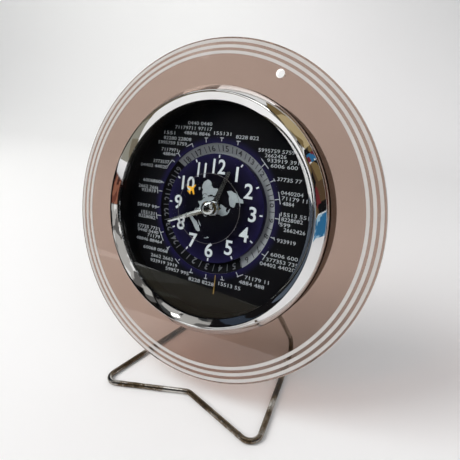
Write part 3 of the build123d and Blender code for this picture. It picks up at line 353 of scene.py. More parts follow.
def polar(radius, clock_angle):
    """A place on the dial, by its distance and its angle clockwise from the top."""
    angle = math.radians(90 - clock_angle)
    return (radius * math.cos(angle), radius * math.sin(angle))


def lay(shape, place):
    bmesh.ops.transform(shape, matrix=place, verts=shape.verts)


def soften(shape, angle=32.0):
    """Smooth faces, with sharp edges where two of them meet at more than the angle."""
    for face in shape.faces:
        face.smooth = True
    for edge in shape.edges:
        edge.smooth = len(edge.link_faces) == 2 and edge.calc_face_angle(0) < math.radians(angle)


def open_border(shape):
    return [edge for edge in shape.edges if edge.is_boundary]


def extrude_edges(shape, edges):
    """Extrudes edges and returns the new vertices."""
    result = bmesh.ops.extrude_edge_only(shape, edges=edges)
    return [part for part in result["geom"] if isinstance(part, bmesh.types.BMVert)]


def new_object(name, data):
    item = bpy.data.objects.new(name, data)
    bpy.context.scene.collection.objects.link(item)
    return item


def new_mesh(name, shape, material=None):
    """A mesh from a bmesh, which is freed."""
    mesh = bpy.data.meshes.new(name)
    shape.to_mesh(mesh)
    shape.free()
    if material:
        mesh.materials.append(material)
    return mesh


def add_piece(name, shape, body, material, stands_for=()):
    """Makes an object from a bmesh, hangs it on the body it rides on, and hides the CAD nodes it stands
    for.
    """
    piece = new_object(name, new_mesh(name, shape, material))
    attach(piece, body)
    if stands_for:
        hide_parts(*stands_for)


def paint(material, *nodes):
    """Gives CAD nodes a material."""
    for node in nodes:
        piece = frame["nodes"][node]
        if not piece.material_slots:
            piece.data.materials.append(material)
        for slot in piece.material_slots:
            slot.material = material


def smooth_copy(name, node, body, material, lift=0.0):
    """A merged, smooth copy of a CAD node that stands for it, lifted off what it lies on where asked."""
    shape = bmesh.new()
    shape.from_mesh(frame["nodes"][node].data)
    bmesh.ops.remove_doubles(shape, verts=shape.verts, dist=0.002 * MM)
    bmesh.ops.translate(shape, verts=shape.verts, vec=DIAL_OUT * lift * MM)
    soften(shape)
    add_piece(name, shape, body, material, (node,))


def ring_shape(profile, steps, closed=True):
    """Spins a profile of (radius, height) about Z. An open one starts and ends on the axis."""
    shape = bmesh.new()
    points = [shape.verts.new((radius, 0, height)) for radius, height in profile]
    pairs = list(zip(points, points[1:]))
    if closed:
        pairs.append((points[-1], points[0]))
    edges = [shape.edges.new(pair) for pair in pairs]
    bmesh.ops.spin(
        shape, geom=points + edges, cent=(0, 0, 0), axis=(0, 0, 1), angle=2 * math.pi, steps=steps,
        use_merge=True,
    )
    bmesh.ops.remove_doubles(shape, verts=shape.verts, dist=0.0005)
    bmesh.ops.recalc_face_normals(shape, faces=shape.faces)
    return shape


def add_ring(
    name, body, material, profile, steps, angle=32.0, closed=True, place=None, stands_for=()
):
    """Adds a piece spun from a profile, on the dial's axis unless a place is given."""
    shape = ring_shape(profile, steps, closed)
    lay(shape, place or on_dial(0))
    soften(shape, angle)
    add_piece(name, shape, body, material, stands_for)


def band(inside, outside, low, high):
    """The section of a plain ring."""
    return [(inside, low), (outside, low), (outside, high), (inside, high)]


def bowed(start, end, bulge, count=6):
    """Points along a shallow arc from start to end, bulge to the left of the way."""
    along = Vector(end) - Vector(start)
    side = Vector((-along.y, along.x)).normalized()
    points = []
    for step in range(1, count):
        share = step / count
        points.append(tuple(Vector(start) + along * share + side * bulge * 4 * share * (1 - share)))
    return points


def add_bar(shape, start, end, width, place):
    """A thin printed bar from start to end in a drawing, laid in its place."""
    way = Vector(end) - Vector(start)
    middle = (Vector(start) + Vector(end)) / 2
    turn = Matrix.Rotation(math.atan2(way.y, way.x), 4, "Z")
    size = Matrix.Diagonal((way.length, width, setting("print_thickness"), 1))
    lifted = Matrix.Translation((middle.x, middle.y, setting("print_thickness") / 2))
    bmesh.ops.create_cube(shape, size=1.0, matrix=place @ lifted @ turn @ size)


def add_mesh(shape, mesh, place):
    """Adds a mesh to a bmesh, moved to its place."""
    mesh.transform(place)
    shape.from_mesh(mesh)
    bpy.data.meshes.remove(mesh)


def mesh_of(curve):
    """The mesh of a curve or a text, with the curve's object thrown away."""
    holder = new_object("drawing", curve)
    bpy.context.view_layer.update()
    mesh = bpy.data.meshes.new_from_object(holder)
    bpy.data.objects.remove(holder)
    return mesh


def add_number(shape, words, height, place, width, weight, fineness):
    """Adds digits of a height, and of a width where one is given, centred on their place."""
    curve = bpy.data.curves.new("print", "FONT")
    curve.body = words
    curve.offset = weight
    curve.resolution_u = fineness
    curve.extrude = 0.5
    mesh = mesh_of(curve)
    across = [vertex.co.x for vertex in mesh.vertices]
    upright = [vertex.co.y for vertex in mesh.vertices]
    scale = height / (max(upright) - min(upright))
    stretch = width / (max(across) - min(across)) if width else scale
    size = Matrix.Diagonal((stretch, scale, setting("print_thickness"), 1))
    middle = Matrix.Translation((-(max(across) + min(across)) / 2, -(max(upright) + min(upright)) / 2, 0.5))
    add_mesh(shape, mesh, place @ size @ middle)


def paper_material():
    """Pale paper, with painted shade that makes it a little darker towards the upper right."""
    material, tree, shader = new_material("pale_paper")
    place = add_node(tree, "TexCoord", {}, "Object")
    parts = tree.nodes.new("ShaderNodeSeparateXYZ")
    feed(tree, parts, {"Vector": place})
    across = spread(tree, parts.outputs["X"], 0.0, 1.0, (-0.7, 0.5))
    height = spread(tree, parts.outputs["Z"], 0.35, 1.0, (0.05, 0.5))
    # Painted shade: the paper's colour darkens towards the right and upwards
    tones = ((0.0, linear(253, 253, 252)), (0.25, linear(245, 244, 244)), (0.55, linear(222, 222, 222)))
    feed(tree, shader, {
        "Base Color": ramp(tree, calculate(tree, "MULTIPLY", across, height), tones),
        "Roughness": 0.9,
        "Specular IOR Level": 0.1,
    })
    return material


def facing(place, target):
    """The turn that points an object's +Z from its place to a target."""
    return (Vector(target) - Vector(place)).to_track_quat("Z", "Y").to_euler()


def glow_material(name, patches, size, scale):
    """Glowing patches that show only after a reflection."""
    material, tree, _ = new_material(name)
    place = place_on_piece(tree, (*size, 1))
    cells = add_node(tree, "TexVoronoi", {"Vector": place, "Scale": scale}, "Color", distance="CHEBYCHEV")
    stops = tuple((index / len(patches), colour) for index, colour in enumerate(patches))
    glow = add_node(tree, "Emission", {"Color": ramp(tree, cells, stops, "CONSTANT")})
    bounces = add_node(tree, "LightPath", {}, "Glossy Depth")
    reflected = calculate(tree, "GREATER_THAN", bounces, 0.5)
    surface = blend(tree, reflected, add_node(tree, "BsdfTransparent", {}), glow)
    feed(tree, tree.nodes["Material Output"], {"Surface": surface})
    return material


def reflection_card(name, patches, size, place, target, scale=4.0):
    """A flat card that only reflections show, so that the chrome and the glass have a room to mirror."""
    shape = bmesh.new()
    bmesh.ops.create_grid(shape, x_segments=1, y_segments=1, size=0.5)
    card = new_object(name, new_mesh(name, shape, glow_material(name, patches, size, scale)))
    card.scale = (*size, 1)
    card.location = place
    card.rotation_euler = facing(place, target)
    card.visible_camera = card.visible_diffuse = card.visible_shadow = False


def lamp(name, place, power, size, colour):
    """A square lamp that shines at the dial and doesn't show in reflections."""
    light = bpy.data.lights.new(name, "AREA")
    light.energy = power
    light.size = size
    light.color = colour
    holder = new_object(name, light)
    holder.location = place
    # A lamp shines along its own -Z, so its +Z points away from the dial
    holder.rotation_euler = facing((0, 0, 0.1), place)
    holder.visible_glossy = False


GREY, PALE, WHITE = linear(96, 94, 92), linear(176, 174, 170), linear(238, 238, 236)
BROWN, OLIVE, GOLD = linear(84, 66, 48), linear(116, 98, 66), linear(176, 158, 120)
DARK, WARM, RED = linear(22, 21, 22), linear(150, 98, 78), linear(104, 44, 46)
BLUE, LIGHT_BLUE = linear(48, 104, 144), linear(150, 186, 206)
NIGHT, DUSK = linear(12, 12, 14), linear(30, 27, 25)

# The cards that the chrome and the glass mirror: patches, size, place, target and scale, in metres
CARDS = (
    ("dark_room", (NIGHT, DUSK, NIGHT), (2.38, 2.0), (-0.972, -1.176, 1.0), (-1.503, -0.328, 1.0)),
    ("far_table", (linear(120, 112, 96), linear(146, 144, 132), linear(108, 98, 80)),
     (1.9, 0.75), (-0.74, -0.6, 0.002), (-0.74, -0.6, 1.0)),
    ("window", ((1.3, 1.3, 1.28),), (0.5, 0.34), (-0.6, -1.0, 0.92), (0, 0, 0.11)),
    ("lamp_spot", ((3.0, 3.0, 2.9),), (0.1, 0.07), (-0.42, -0.48, 1.04), (0, 0, 0.1)),
    ("ceiling", (GREY, DARK, PALE, GREY, linear(60, 62, 62)),
     (2.6, 1.8), (-0.1, -0.5, 1.5), (-0.1, -0.5, 0), 3.0),
    ("gold_corner", (GOLD, OLIVE, GOLD), (0.6, 0.6), (0.45, 0.25, 1.0), (0.2, 0.1, 0.1), 3.0),
    ("right_wall", (BROWN, OLIVE, DARK, BROWN, RED), (0.9, 0.6), (0.62, 0.05, 0.47), (0, 0.05, 0.47), 6.0),
    ("blue_box", (BLUE, LIGHT_BLUE, BLUE, BLUE),
     (0.45, 0.155), (0.6, -0.08, 0.084), (0, -0.08, 0.084), 22.0),
    ("blue_shelf", (BLUE, RED, WHITE), (0.3, 0.1), (0.58, 0.08, 0.6), (0, 0.08, 0.6), 14.0),
    ("dark_room_right", (NIGHT, DUSK, NIGHT), (2.4, 2.0), (0.9, -1.4, 1.0), (0, 0, 1.0)),
    ("warm_patch", (WARM, linear(112, 66, 54), linear(70, 42, 38)),
     (0.13, 0.13), (0.215, -0.44, 0.145), (-0.06, 0, 0.11), 24.0),
    ("pale_patch", (PALE, GREY, WHITE), (0.13, 0.11), (0.21, -0.42, 0.265), (-0.06, 0, 0.11), 20.0),
    ("room_front", (PALE, GREY, WHITE, PALE), (0.7, 0.75), (0.25, -0.62, 0.78), (-0.06, 0, 0.11), 7.0),
    ("softbox", ((2.6, 2.6, 2.6),), (0.45, 0.3), (-0.12, -0.1, 0.8), (-0.12, -0.1, 0)),
    ("left_wall", (DARK, linear(52, 60, 72), linear(84, 92, 104)),
     (0.8, 0.7), (-0.6, 0.0, 0.36), (0, 0.0, 0.36), 5.0),
)

# The paper under and behind the clock, in metres: half its width, its front and top, and its bend
PAPER_HALF, PAPER_FRONT, PAPER_TOP = 12.0, -1.6, 1.9
PAPER_BEND, BEND_START = 0.5, 0.7

# The camera, as it was fitted to the photograph's view, in metres
CAMERA_PLACE = (0.126306, -0.210971, 0.185061)
CAMERA_AXES = ((0.87963, 0.47561, 0.00620), (-0.12032, 0.20989, 0.97029), (0.46018, -0.85425, 0.24185))


def add_paper():
    """The sweep of paper: flat below the clock, round behind it, and upright."""
    shape = bmesh.new()
    corners = [(PAPER_FRONT, 0), (BEND_START, 0)]
    corners += [
        (BEND_START + PAPER_BEND * math.sin(turn), PAPER_BEND - PAPER_BEND * math.cos(turn))
        for turn in (math.radians(5 * step) for step in range(1, 18))
    ]
    corners.append((BEND_START + PAPER_BEND, PAPER_TOP))
    points = [shape.verts.new((-PAPER_HALF, y, z)) for y, z in corners]
    moved = extrude_edges(shape, [shape.edges.new(pair) for pair in zip(points, points[1:])])
    bmesh.ops.translate(shape, verts=moved, vec=(2 * PAPER_HALF, 0, 0))
    soften(shape, angle=60)
    new_object("paper_sweep", new_mesh("paper_sweep", shape, paper_material()))


def add_world():
    """A pale world that is paler where the camera, a reflection or a clear piece shows it."""
    world = bpy.data.worlds.new("pale_world")
    bpy.context.scene.world = world
    world.use_nodes = True
    tree = world.node_tree
    lighting = tree.nodes["Background"]
    feed(tree, lighting, {"Color": (0.97, 0.98, 1.0, 1), "Strength": 0.47})
    seen = add_node(tree, "Background", {"Color": (0.82, 0.82, 0.81, 1)})
    rays = tree.nodes.new("ShaderNodeLightPath").outputs
    shown = calculate(tree, "MAXIMUM", rays["Is Camera Ray"], rays["Is Glossy Ray"])
    shown = calculate(tree, "MAXIMUM", shown, rays["Is Transmission Ray"])
    surface = blend(tree, shown, lighting.outputs["Background"], seen)
    feed(tree, tree.nodes["World Output"], {"Surface": surface})


def add_camera():
    camera = bpy.data.cameras.new("camera")
    camera.sensor_width = 36.0
    camera.lens = 33.73
    camera.shift_y = -0.0978
    camera.clip_start = 0.01
    holder = new_object("camera", camera)
    holder.matrix_world = Matrix.Translation(CAMERA_PLACE) @ Matrix(CAMERA_AXES).transposed().to_4x4()
    bpy.context.scene.camera = holder


class CLOCK_OT_stage(bpy.types.Operator):
    """Adds the paper, the cards that are mirrored, the lamps, the world and the camera"""

    bl_idname = "clock.stage"
    bl_label = "Stage"

    def execute(self, context):
        add_paper()
        for card in CARDS:
            reflection_card(*card)
        lamp("key_lamp", (-0.9, -0.8, 1.25), power=20.0, size=1.0, colour=(1.0, 0.985, 0.965))
        lamp("fill_lamp", (0.9, -1.0, 0.9), power=3.0, size=1.2, colour=(0.96, 0.98, 1.0))
        add_world()
        add_camera()
        context.scene.view_settings.view_transform = "Standard"
        return {"FINISHED"}


# The lining of the hanging hole, made bright by a painted glow, in millimetres
HOLE_LINING, HOLE_LINING_HALF = 0.12, 1.45


class CLOCK_OT_disc(bpy.types.Operator):
    """Adds the tinted clear disc with its three silver-white rings"""

    bl_idname = "clock.disc"
    bl_label = "Disc and Rings"

    def execute(self, context):
        tint = colours().acrylic
        paint(clear_material("tinted_acrylic", tint, shade(tint, 1.45), 1.49, 0.04), "disc_panel")
        printed = grained("silver_white_print", colours().rings, 0.42, grain=1500.0, mottle=0.04)
        smooth_copy("ring_print", "disc_rings", "case", printed, lift=0.02)
        outside = HANGING_HOLE["dims"]["r_mm"]
        lining = band(outside - HOLE_LINING, outside, -HOLE_LINING_HALF, HOLE_LINING_HALF)
        turn = Matrix.Rotation(DIAL_TURN, 4, "X")
        place = Matrix.Translation(HANGING_HOLE["pos_m"]) @ turn @ Matrix.Scale(MM, 4)
        glowing_wall = grained("pale_hole_wall_painted_glow", linear(250, 248, 246), 0.6, grain=1800.0, mottle=0.02)
        # The wall glows faintly: painted light that makes the hole look bright white
        feed(glowing_wall.node_tree, glowing_wall.node_tree.nodes["Principled BSDF"], {"Emission Strength": 0.3})
        add_ring("hole_wall", "case", glowing_wall, lining, steps=48, place=place)
        return {"FINISHED"}


# The bezel's section, in millimetres: its width and the height of its inner lip, its skirt, its rim and
# the shoulder above it, and how far in and how far down its crest starts, stands and ends
BEZEL_WIDTH, LIP_HEIGHT = 9.26, 4.2
SKIRT_BORE, SKIRT_RADIUS, SKIRT_DEPTH = 64.5, 67.0, 11.0
RIM_HEIGHT, SHOULDER_HEIGHT, SHOULDER_STEP = 1.5, 1.9, 0.12
CREST = ((4.7, 0.12), (4.9, 0.0), (5.15, 0.08))
OUTER_BOW, INNER_BOW = -0.12, -0.08

# The cap on the hub, in millimetres: its rounded foot, its straight side, and the flat on its top
CAP_FOOT, CAP_SHOULDER, CAP_DOME, CAP_STEP, CAP_FLAT, CAP_BOW = 0.2, 1.55, 1.4, 0.15, 1.2, -0.35
GLASS_BEVEL = 0.2


class CLOCK_OT_bezel(bpy.types.Operator):
    """Adds the chromed bezel, the cap on the hub and the flat glass"""

    bl_idname = "clock.bezel"
    bl_label = "Bezel and Glass"

    def execute(self, context):
        chrome = chrome_material()
        steps = bpy.context.scene.clock_sizes.spin_steps
        outer, crest = radius_of("bezel"), front_of("bezel")
        front, back, radius = front_of("lens"), back_of("lens"), radius_of("lens")
        lip = (outer - BEZEL_WIDTH, LIP_HEIGHT)
        shoulder = (outer - SHOULDER_STEP, SHOULDER_HEIGHT)
        crown = [(outer - inward, crest - down) for inward, down in CREST]
        profile = [lip, (lip[0], front), (SKIRT_BORE, front), (SKIRT_BORE, -SKIRT_DEPTH)]
        profile += [(SKIRT_RADIUS, -SKIRT_DEPTH), (SKIRT_RADIUS, 0), (outer, 0), (outer, RIM_HEIGHT)]
        profile.append(shoulder)
        profile += bowed(shoulder, crown[0], OUTER_BOW) + crown + bowed(crown[-1], lip, INNER_BOW)
        add_ring("bezel_ring", "case", chrome, profile, steps,
                 angle=24, stands_for=("bezel",))

        side, top, foot = radius_of("hub_cap"), front_of("hub_cap"), back_of("hub_cap")
        dome, flat = (side - CAP_STEP, top - CAP_DOME), (CAP_FLAT, top)
        profile = [(0, foot), (side - CAP_FOOT, foot), (side, foot + CAP_FOOT), (side, top - CAP_SHOULDER)]
        profile += [dome] + bowed(dome, flat, CAP_BOW, 8) + [flat, (0, top)]
        add_ring("hub_dome", "seconds", chrome, profile, steps=64,
                 angle=35, closed=False, stands_for=("hub_cap",))

        glass = clear_material("clear_glass", (0.94, 0.965, 0.96), (0.9, 0.92, 0.92), 1.5, 0.02)
        profile = [(0, back), (radius - GLASS_BEVEL, back), (radius, back + GLASS_BEVEL)]
        profile += [(radius, front - GLASS_BEVEL), (radius - GLASS_BEVEL, front), (0, front)]
        add_ring("glass_pane", "case", glass, profile, steps,
                 angle=30, closed=False, stands_for=("lens",))
        return {"FINISHED"}


# Where the day ring's daylight half starts and ends, in degrees clockwise from its top
DAY_START, DAY_END = -48.7, 145.5


class CLOCK_OT_dials(bpy.types.Operator):
    """Finishes the dial plates, the day ring and the black ring under the glass"""

    bl_idname = "clock.dials"
    bl_label = "Dial Plates"

    def execute(self, context):
        black, indigo = colours().dial_black, colours().indigo
        stops = ((0.0, indigo), (0.62, indigo), (0.685, black), (1.0, black))
        paint(dial_material("outer_dial_print", stops, reach=64.0), "outer_dial")
        stops = (
            (0.0, shade(black, 1.9)), (0.58, shade(indigo, 0.12)), (0.9, shade(indigo, 0.62)), (1.0, indigo)
        )
        paint(dial_material("centre_dial_print", stops, reach=33.0), "centre_dial")
        shares = [(90 - angle + 180) / 360 for angle in (DAY_END, DAY_START)]
        paint(day_ring_material(colours().day_silver, shade(black, 0.9), *shares), "day_dish")
        paint(grained("black_spacer", linear(12, 12, 14), 0.5, gloss=0.1), "spacer_ring")
        return {"FINISHED"}


# Marks that point at the day ring, each as its two ends, in millimetres from the dial's centre
ZONE_MARKS = (
    (-10.3, 38.9, -10.8, 41.4), (-11.8, 41.6, -9.4, 41.6), (0.2, 40.3, 0.2, 42.3), (-1.0, 42.4, 1.5, 42.4),
    (11.3, 38.9, 11.3, 41.0), (10.2, 41.2, 12.7, 41.2), (27.2, 32.5, 32.3, 27.2), (29.8, 29.8, 28.0, 27.8),
    (34.4, 19.8, 36.5, 21.0), (36.1, 22.0, 37.2, 20.6), (38.2, 10.2, 41.1, 11.0), (40.0, 15.0, 41.9, 8.3),
    (39.7, 0.0, 42.3, 0.0), (42.3, 3.1, 42.5, -2.8), (38.6, -10.8, 40.8, -11.3), (40.5, -10.4, 41.1, -12.2),
    (34.4, -21.1, 36.5, -21.9), (38.2, -19.0, 35.3, -24.4), (19.8, -34.8, 21.5, -37.3),
    (20.7, -37.3, 24.4, -35.3), (10.8, -39.2, 11.5, -41.1), (10.2, -41.3, 12.7, -41.3),
    (0.0, -40.3, 0.0, -42.8), (-1.0, -43.0, 1.1, -43.0), (-10.6, -39.2, -11.0, -41.5),
    (-12.0, -41.7, -9.3, -41.7), (-19.8, -35.0, -20.6, -36.1), (-23.3, -35.5, -20.2, -38.0),
    (-28.3, -28.6, -29.8, -30.3), (-30.6, -29.4, -29.3, -31.1), (-34.3, -20.3, -36.4, -21.1),
    (-38.5, -18.2, -33.9, -26.1), (-37.7, -10.3, -41.0, -10.5), (-41.8, -9.0, -40.6, -12.8),
    (-39.8, -5.0, -41.8, -5.5), (-38.9, 5.3, -41.8, 5.3), (-43.1, 7.7, -42.3, 3.5),
    (-38.5, 10.8, -40.2, 11.4), (-40.3, 12.0, -40.6, 10.3), (-31.8, 24.8, -33.9, 26.0),
    (-33.9, 26.0, -36.8, 21.8), (-28.1, 28.5, -29.8, 30.6), (-31.6, 30.0, -29.8, 30.6),
    (-29.8, 30.6, -29.0, 32.4), (-19.3, 35.2, -20.3, 37.3), (-24.3, 35.2, -20.2, 37.5),
)

# Lines of small print, as their middle and their width in millimetres
ZONE_LINES = (
    (-16.3, 50.2, 17.5), (-20.8, 47.0, 27.0), (-17.7, 43.9, 19.0), (0.3, 45.0, 11.7), (16.9, 43.7, 14.7),
    (35.8, 37.3, 22.0), (35.7, 34.6, 13.0), (40.4, 31.9, 19.0), (41.5, 29.1, 16.0), (45.5, 22.0, 14.4),
    (48.0, 14.8, 13.0), (49.7, 11.8, 14.8), (46.5, 8.9, 6.7), (51.1, 2.9, 16.3), (49.8, 0.2, 12.5),
    (46.1, -2.8, 6.0), (51.9, -5.4, 12.5), (48.0, -11.9, 11.0), (47.8, -20.3, 16.0), (46.9, -23.6, 18.8),
    (44.4, -26.5, 21.0), (33.2, -36.5, 15.0), (30.3, -39.8, 16.0), (16.5, -43.8, 14.5), (-2.9, -45.5, 18.0),
    (-21.0, -42.8, 17.5), (-33.5, -36.5, 17.5), (-31.8, -39.8, 21.0), (-39.3, -32.3, 19.3),
    (-47.7, -19.2, 16.3), (-46.8, -21.7, 16.7), (-41.8, -24.3, 10.0), (-45.2, -27.3, 20.8),
    (-48.5, -10.0, 10.6), (-48.9, -12.6, 13.6), (-49.8, -5.5, 15.8), (-51.0, 7.0, 15.0), (-49.8, 4.5, 11.4),
    (-48.1, 11.2, 14.0), (-42.3, 24.3, 12.5), (-47.7, 21.0, 21.6), (-36.8, 32.3, 12.5), (-36.8, 29.6, 10.0),
    (-38.1, 43.1, 8.3), (-31.8, 39.8, 21.0), (-35.2, 36.7, 22.0),
)

# How far the print floats above what it lies on, so that the two faces never share a plane, the room
# that a small character takes, and the yellow line's ends and width, in millimetres
PRINT_LIFT = 0.01
CHARACTER_ROOM = 1.9
DATE_LINE, DATE_LINE_WIDTH = ((6.5, -39.6), (6.5, -51.0)), 0.5


def plain_numbers(first, length):
    """Plain digits in groups, as many characters as the line holds."""
    digits = [str((first * 7 + step * step * 3 + step) % 10) for step in range(length)]
    if length > 7:
        digits[length // 2 + first % 2] = " "
    return "".join(digits)


class CLOCK_OT_zones(bpy.types.Operator):
    """Prints the zone marks and the lines of plain numbers round the day ring, and the yellow line"""

    bl_idname = "clock.zones"
    bl_label = "Zone Marks and Numbers"

    def execute(self, context):
        white = printed("zone_print", colours().zone_print, mottle=0.08)
        yellow = printed("date_line_print", colours().date_line)
        depth = front_of("outer_dial") + PRINT_LIFT
        marks, numbers, line = bmesh.new(), bmesh.new(), bmesh.new()
        for mark in ZONE_MARKS:
            add_bar(marks, mark[:2], mark[2:], setting("line_width"), on_dial(depth))
        for index, (across, up, width) in enumerate(ZONE_LINES):
            words = plain_numbers(index, max(3, round(width / CHARACTER_ROOM)))
            place = on_dial(depth, (across, up))
            add_number(numbers, words, setting("zone_print_height"), place, width, weight=0.0, fineness=2)
        add_bar(line, *DATE_LINE, DATE_LINE_WIDTH, on_dial(depth))
        add_piece("zone_marks", marks, "case", white)
        add_piece("zone_numbers", numbers, "case", white)
        add_piece("date_line", line, "case", yellow)
        return {"FINISHED"}


# The hours, their places from the dial's centre and, for two digits, their width, and then the ticks'
# ends and width, in millimetres
HOURS = (
    ("12", 0.6, 25.2, 8.7), ("1", 13.0, 21.8, None), ("2", 21.7, 12.9, None), ("3", 25.8, 0.0, None),
    ("4", 21.9, -12.2, None), ("5", 13.0, -21.7, None), ("6", 0.0, -25.5, None), ("7", -12.0, -21.7, None),
    ("8", -22.0, -12.2, None), ("9", -25.8, 0.3, None), ("10", -19.9, 12.7, 9.2), ("11", -11.2, 22.0, 6.0),
)
TICK_START, TICK_END, TICK_WIDTH = 30.4, 32.2, 0.8


class CLOCK_OT_hours(bpy.types.Operator):
    """Prints the hours 1 to 12 and their ticks on the centre dial"""

    bl_idname = "clock.hours"
    bl_label = "Hours and Ticks"

    def execute(self, context):
        white = printed("hour_print", colours().numerals, roughness=0.45, grain=2000.0, mottle=0.05)
        depth = front_of("centre_dial") + PRINT_LIFT
        numerals, ticks = bmesh.new(), bmesh.new()
        for words, across, up, width in HOURS:
            place = on_dial(depth, (across, up))
            add_number(numerals, words, setting("numeral_height"), place, width, weight=0.016, fineness=6)
        for angle in range(0, 360, 30):
            add_bar(ticks, polar(TICK_START, angle), polar(TICK_END, angle), TICK_WIDTH, on_dial(depth))
        add_piece("hour_numerals", numerals, "case", white)
        add_piece("hour_ticks", ticks, "case", white)
        return {"FINISHED"}


# The day ring, in millimetres: its outer edge, the circle of its numbers, its run inwards and its drop
# over that run, and half the length of the bars between the numbers
DAY_EDGE, DAY_CIRCLE, DAY_RUN, DAY_DROP, DAY_BAR_HALF = 40.3, 36.4, 6.5, 3.5, 2.2
DAY_LIFT = 0.02

# The hour that stands at the ring's top, the first and last ones in daylight, and degrees for an hour
TOP_HOUR, FIRST_LIT, LAST_LIT, HOUR_TURN = 15.2, 6, 18, 15


class CLOCK_OT_day_numbers(bpy.types.Operator):
    """Prints the 24 numbers and the bars between them on the day ring's slope"""

    bl_idname = "clock.day_numbers"
    bl_label = "Day Ring Numbers"

    def execute(self, context):
        dark = printed("day_number_print", linear(26, 26, 30))
        pale = printed("night_number_print", linear(98, 98, 104))
        slope = math.degrees(math.atan2(DAY_DROP, DAY_RUN))
        depth = front_of("day_dish") - (DAY_EDGE - DAY_CIRCLE) * DAY_DROP / DAY_RUN + DAY_LIFT
        height, width = setting("day_print_height"), setting("line_width")
        day, night = bmesh.new(), bmesh.new()
        for hour in range(24):
            shape = day if FIRST_LIT <= hour <= LAST_LIT else night
            angle = (TOP_HOUR - hour) * HOUR_TURN % 360
            place = on_dial(depth, polar(DAY_CIRCLE, angle), -angle, slope)
            add_number(shape, str(hour or 24), height, place, None, weight=0.015, fineness=2)
            angle -= HOUR_TURN / 2
            place = on_dial(depth, polar(DAY_CIRCLE, angle), -angle, slope)
            add_bar(shape, (0, -DAY_BAR_HALF), (0, DAY_BAR_HALF), width, place)
        add_piece("day_numbers", day, "day", dark)
        add_piece("night_numbers", night, "day", pale)
        return {"FINISHED"}


# Coarse coastlines, as longitude and latitude by turns, in degrees
LANDS = (
    (-17, 15, -16, 24, -10, 31, -6, 36, 10, 37, 11, 33, 20, 31, 32, 31, 35, 28, 37, 20, 43, 12, 51, 12, 47,
     3, 41, -3, 40, -15, 35, -24, 30, -31, 20, -35, 15, -27, 12, -16, 13, -6, 9, 1, 9, 4, 4, 6, -5, 5, -13,
     9),
    (-9, 37, -9, 43, -1, 44, -4, 48, 3, 51, 8, 54, 12, 55, 20, 55, 28, 60, 20, 64, 24, 66, 17, 61, 12, 56,
     6, 58, 5, 62, 14, 68, 25, 71, 40, 67, 60, 69, 73, 73, 88, 75, 104, 78, 112, 74, 130, 72, 150, 71, 170,
     70, 188, 66, 180, 63, 164, 60, 162, 55, 156, 52, 156, 57, 160, 61, 150, 59, 137, 55, 141, 50, 135, 44,
     130, 42, 128, 35, 125, 39, 118, 39, 122, 31, 115, 23, 108, 21, 109, 12, 105, 9, 102, 13, 100, 8, 104,
     2, 98, 8, 97, 17, 91, 22, 86, 20, 80, 13, 77, 8, 72, 20, 67, 25, 57, 26, 50, 30, 52, 24, 59, 22, 52,
     16, 44, 13, 39, 21, 35, 28, 35, 33, 36, 36, 27, 37, 26, 40, 23, 38, 19, 42, 13, 45, 18, 40, 16, 38, 10,
     44, 4, 43, 0, 40, -5, 36),
    (-168, 66, -156, 71, -128, 70, -95, 68, -82, 66, -94, 60, -92, 57, -80, 52, -78, 60, -70, 60, -64, 58,
     -56, 52, -60, 49, -65, 45, -70, 42, -75, 38, -81, 31, -80, 25, -84, 30, -90, 30, -97, 27, -97, 20, -90,
     20, -87, 16, -83, 10, -78, 8, -86, 11, -96, 15, -105, 20, -110, 27, -118, 34, -124, 42, -124, 48, -135,
     58, -150, 60, -158, 56, -165, 60),
    (-45, 60, -52, 66, -60, 76, -60, 82, -30, 83, -20, 76, -25, 70, -40, 65),
    (-77, 8, -72, 12, -62, 10, -52, 5, -50, 0, -35, -6, -39, -15, -42, -23, -48, -26, -53, -34, -58, -38,
     -65, -43, -68, -52, -74, -52, -73, -40, -71, -30, -70, -18, -77, -12, -81, -5, -79, 2),
    (114, -22, 114, -34, 118, -35, 130, -32, 138, -35, 145, -39, 150, -37, 153, -30, 151, -24, 146, -19,
     143, -11, 140, -17, 136, -12, 131, -12, 122, -18),
    (49, -12, 50, -16, 47, -25, 44, -22, 44, -17),
    (131, 31, 137, 34, 141, 36, 142, 40, 145, 44, 141, 45, 139, 38, 132, 35),
    (173, -35, 178, -38, 174, -42, 168, -47, 167, -45, 172, -41),
    (109, 2, 117, 7, 119, 1, 116, -4, 110, -3),
    (95, 5, 104, -2, 106, -6, 101, -3),
    (131, -1, 141, -3, 150, -10, 141, -9, 134, -4),
    (-5, 50, 1, 51, -2, 55, -5, 58, -5, 54),
)


class CLOCK_OT_map(bpy.types.Operator):
    """Prints the map round the North Pole on the centre dial"""

    bl_idname = "clock.map"
    bl_label = "Map"

    def execute(self, context):
        grey = printed("land_print", colours().land, grain=1800.0, mottle=0.1)
        half, scale = setting("print_thickness") / 2, context.scene.clock_sizes.map_scale
        place = on_dial(front_of("centre_dial") + PRINT_LIFT + half)
        shape = bmesh.new()
        for land in LANDS:
            curve = bpy.data.curves.new("land", "CURVE")
            curve.dimensions = "2D"
            curve.fill_mode = "BOTH"
            curve.extrude = half
            coast = curve.splines.new("POLY")
            coast.points.add(len(land) // 2 - 1)
            for point, longitude, latitude in zip(coast.points, land[::2], land[1::2]):
                radius, turn = scale * (90 - latitude), math.radians(longitude)
                point.co = (-radius * math.sin(turn), radius * math.cos(turn), 0, 1)
            coast.use_cyclic_u = True
            add_mesh(shape, mesh_of(curve), place)
        add_piece("map_print", shape, "case", grey)
        return {"FINISHED"}


# The hands, in millimetres: where a blade starts, the length of its point, the share of its width that
# the end keeps, and the heights of its underside and its upper edges
BLADE_START, POINT_LENGTH, POINT_SHARE = 3.4, 1.2, 0.25
BLADE_FOOT, BLADE_TOP = 0.05, 0.3

# The boss's outline outside its bore, as radii and heights
BOSS = ((4.1, 0.0), (4.3, 0.15), (4.3, 0.45), (4.1, 0.6))

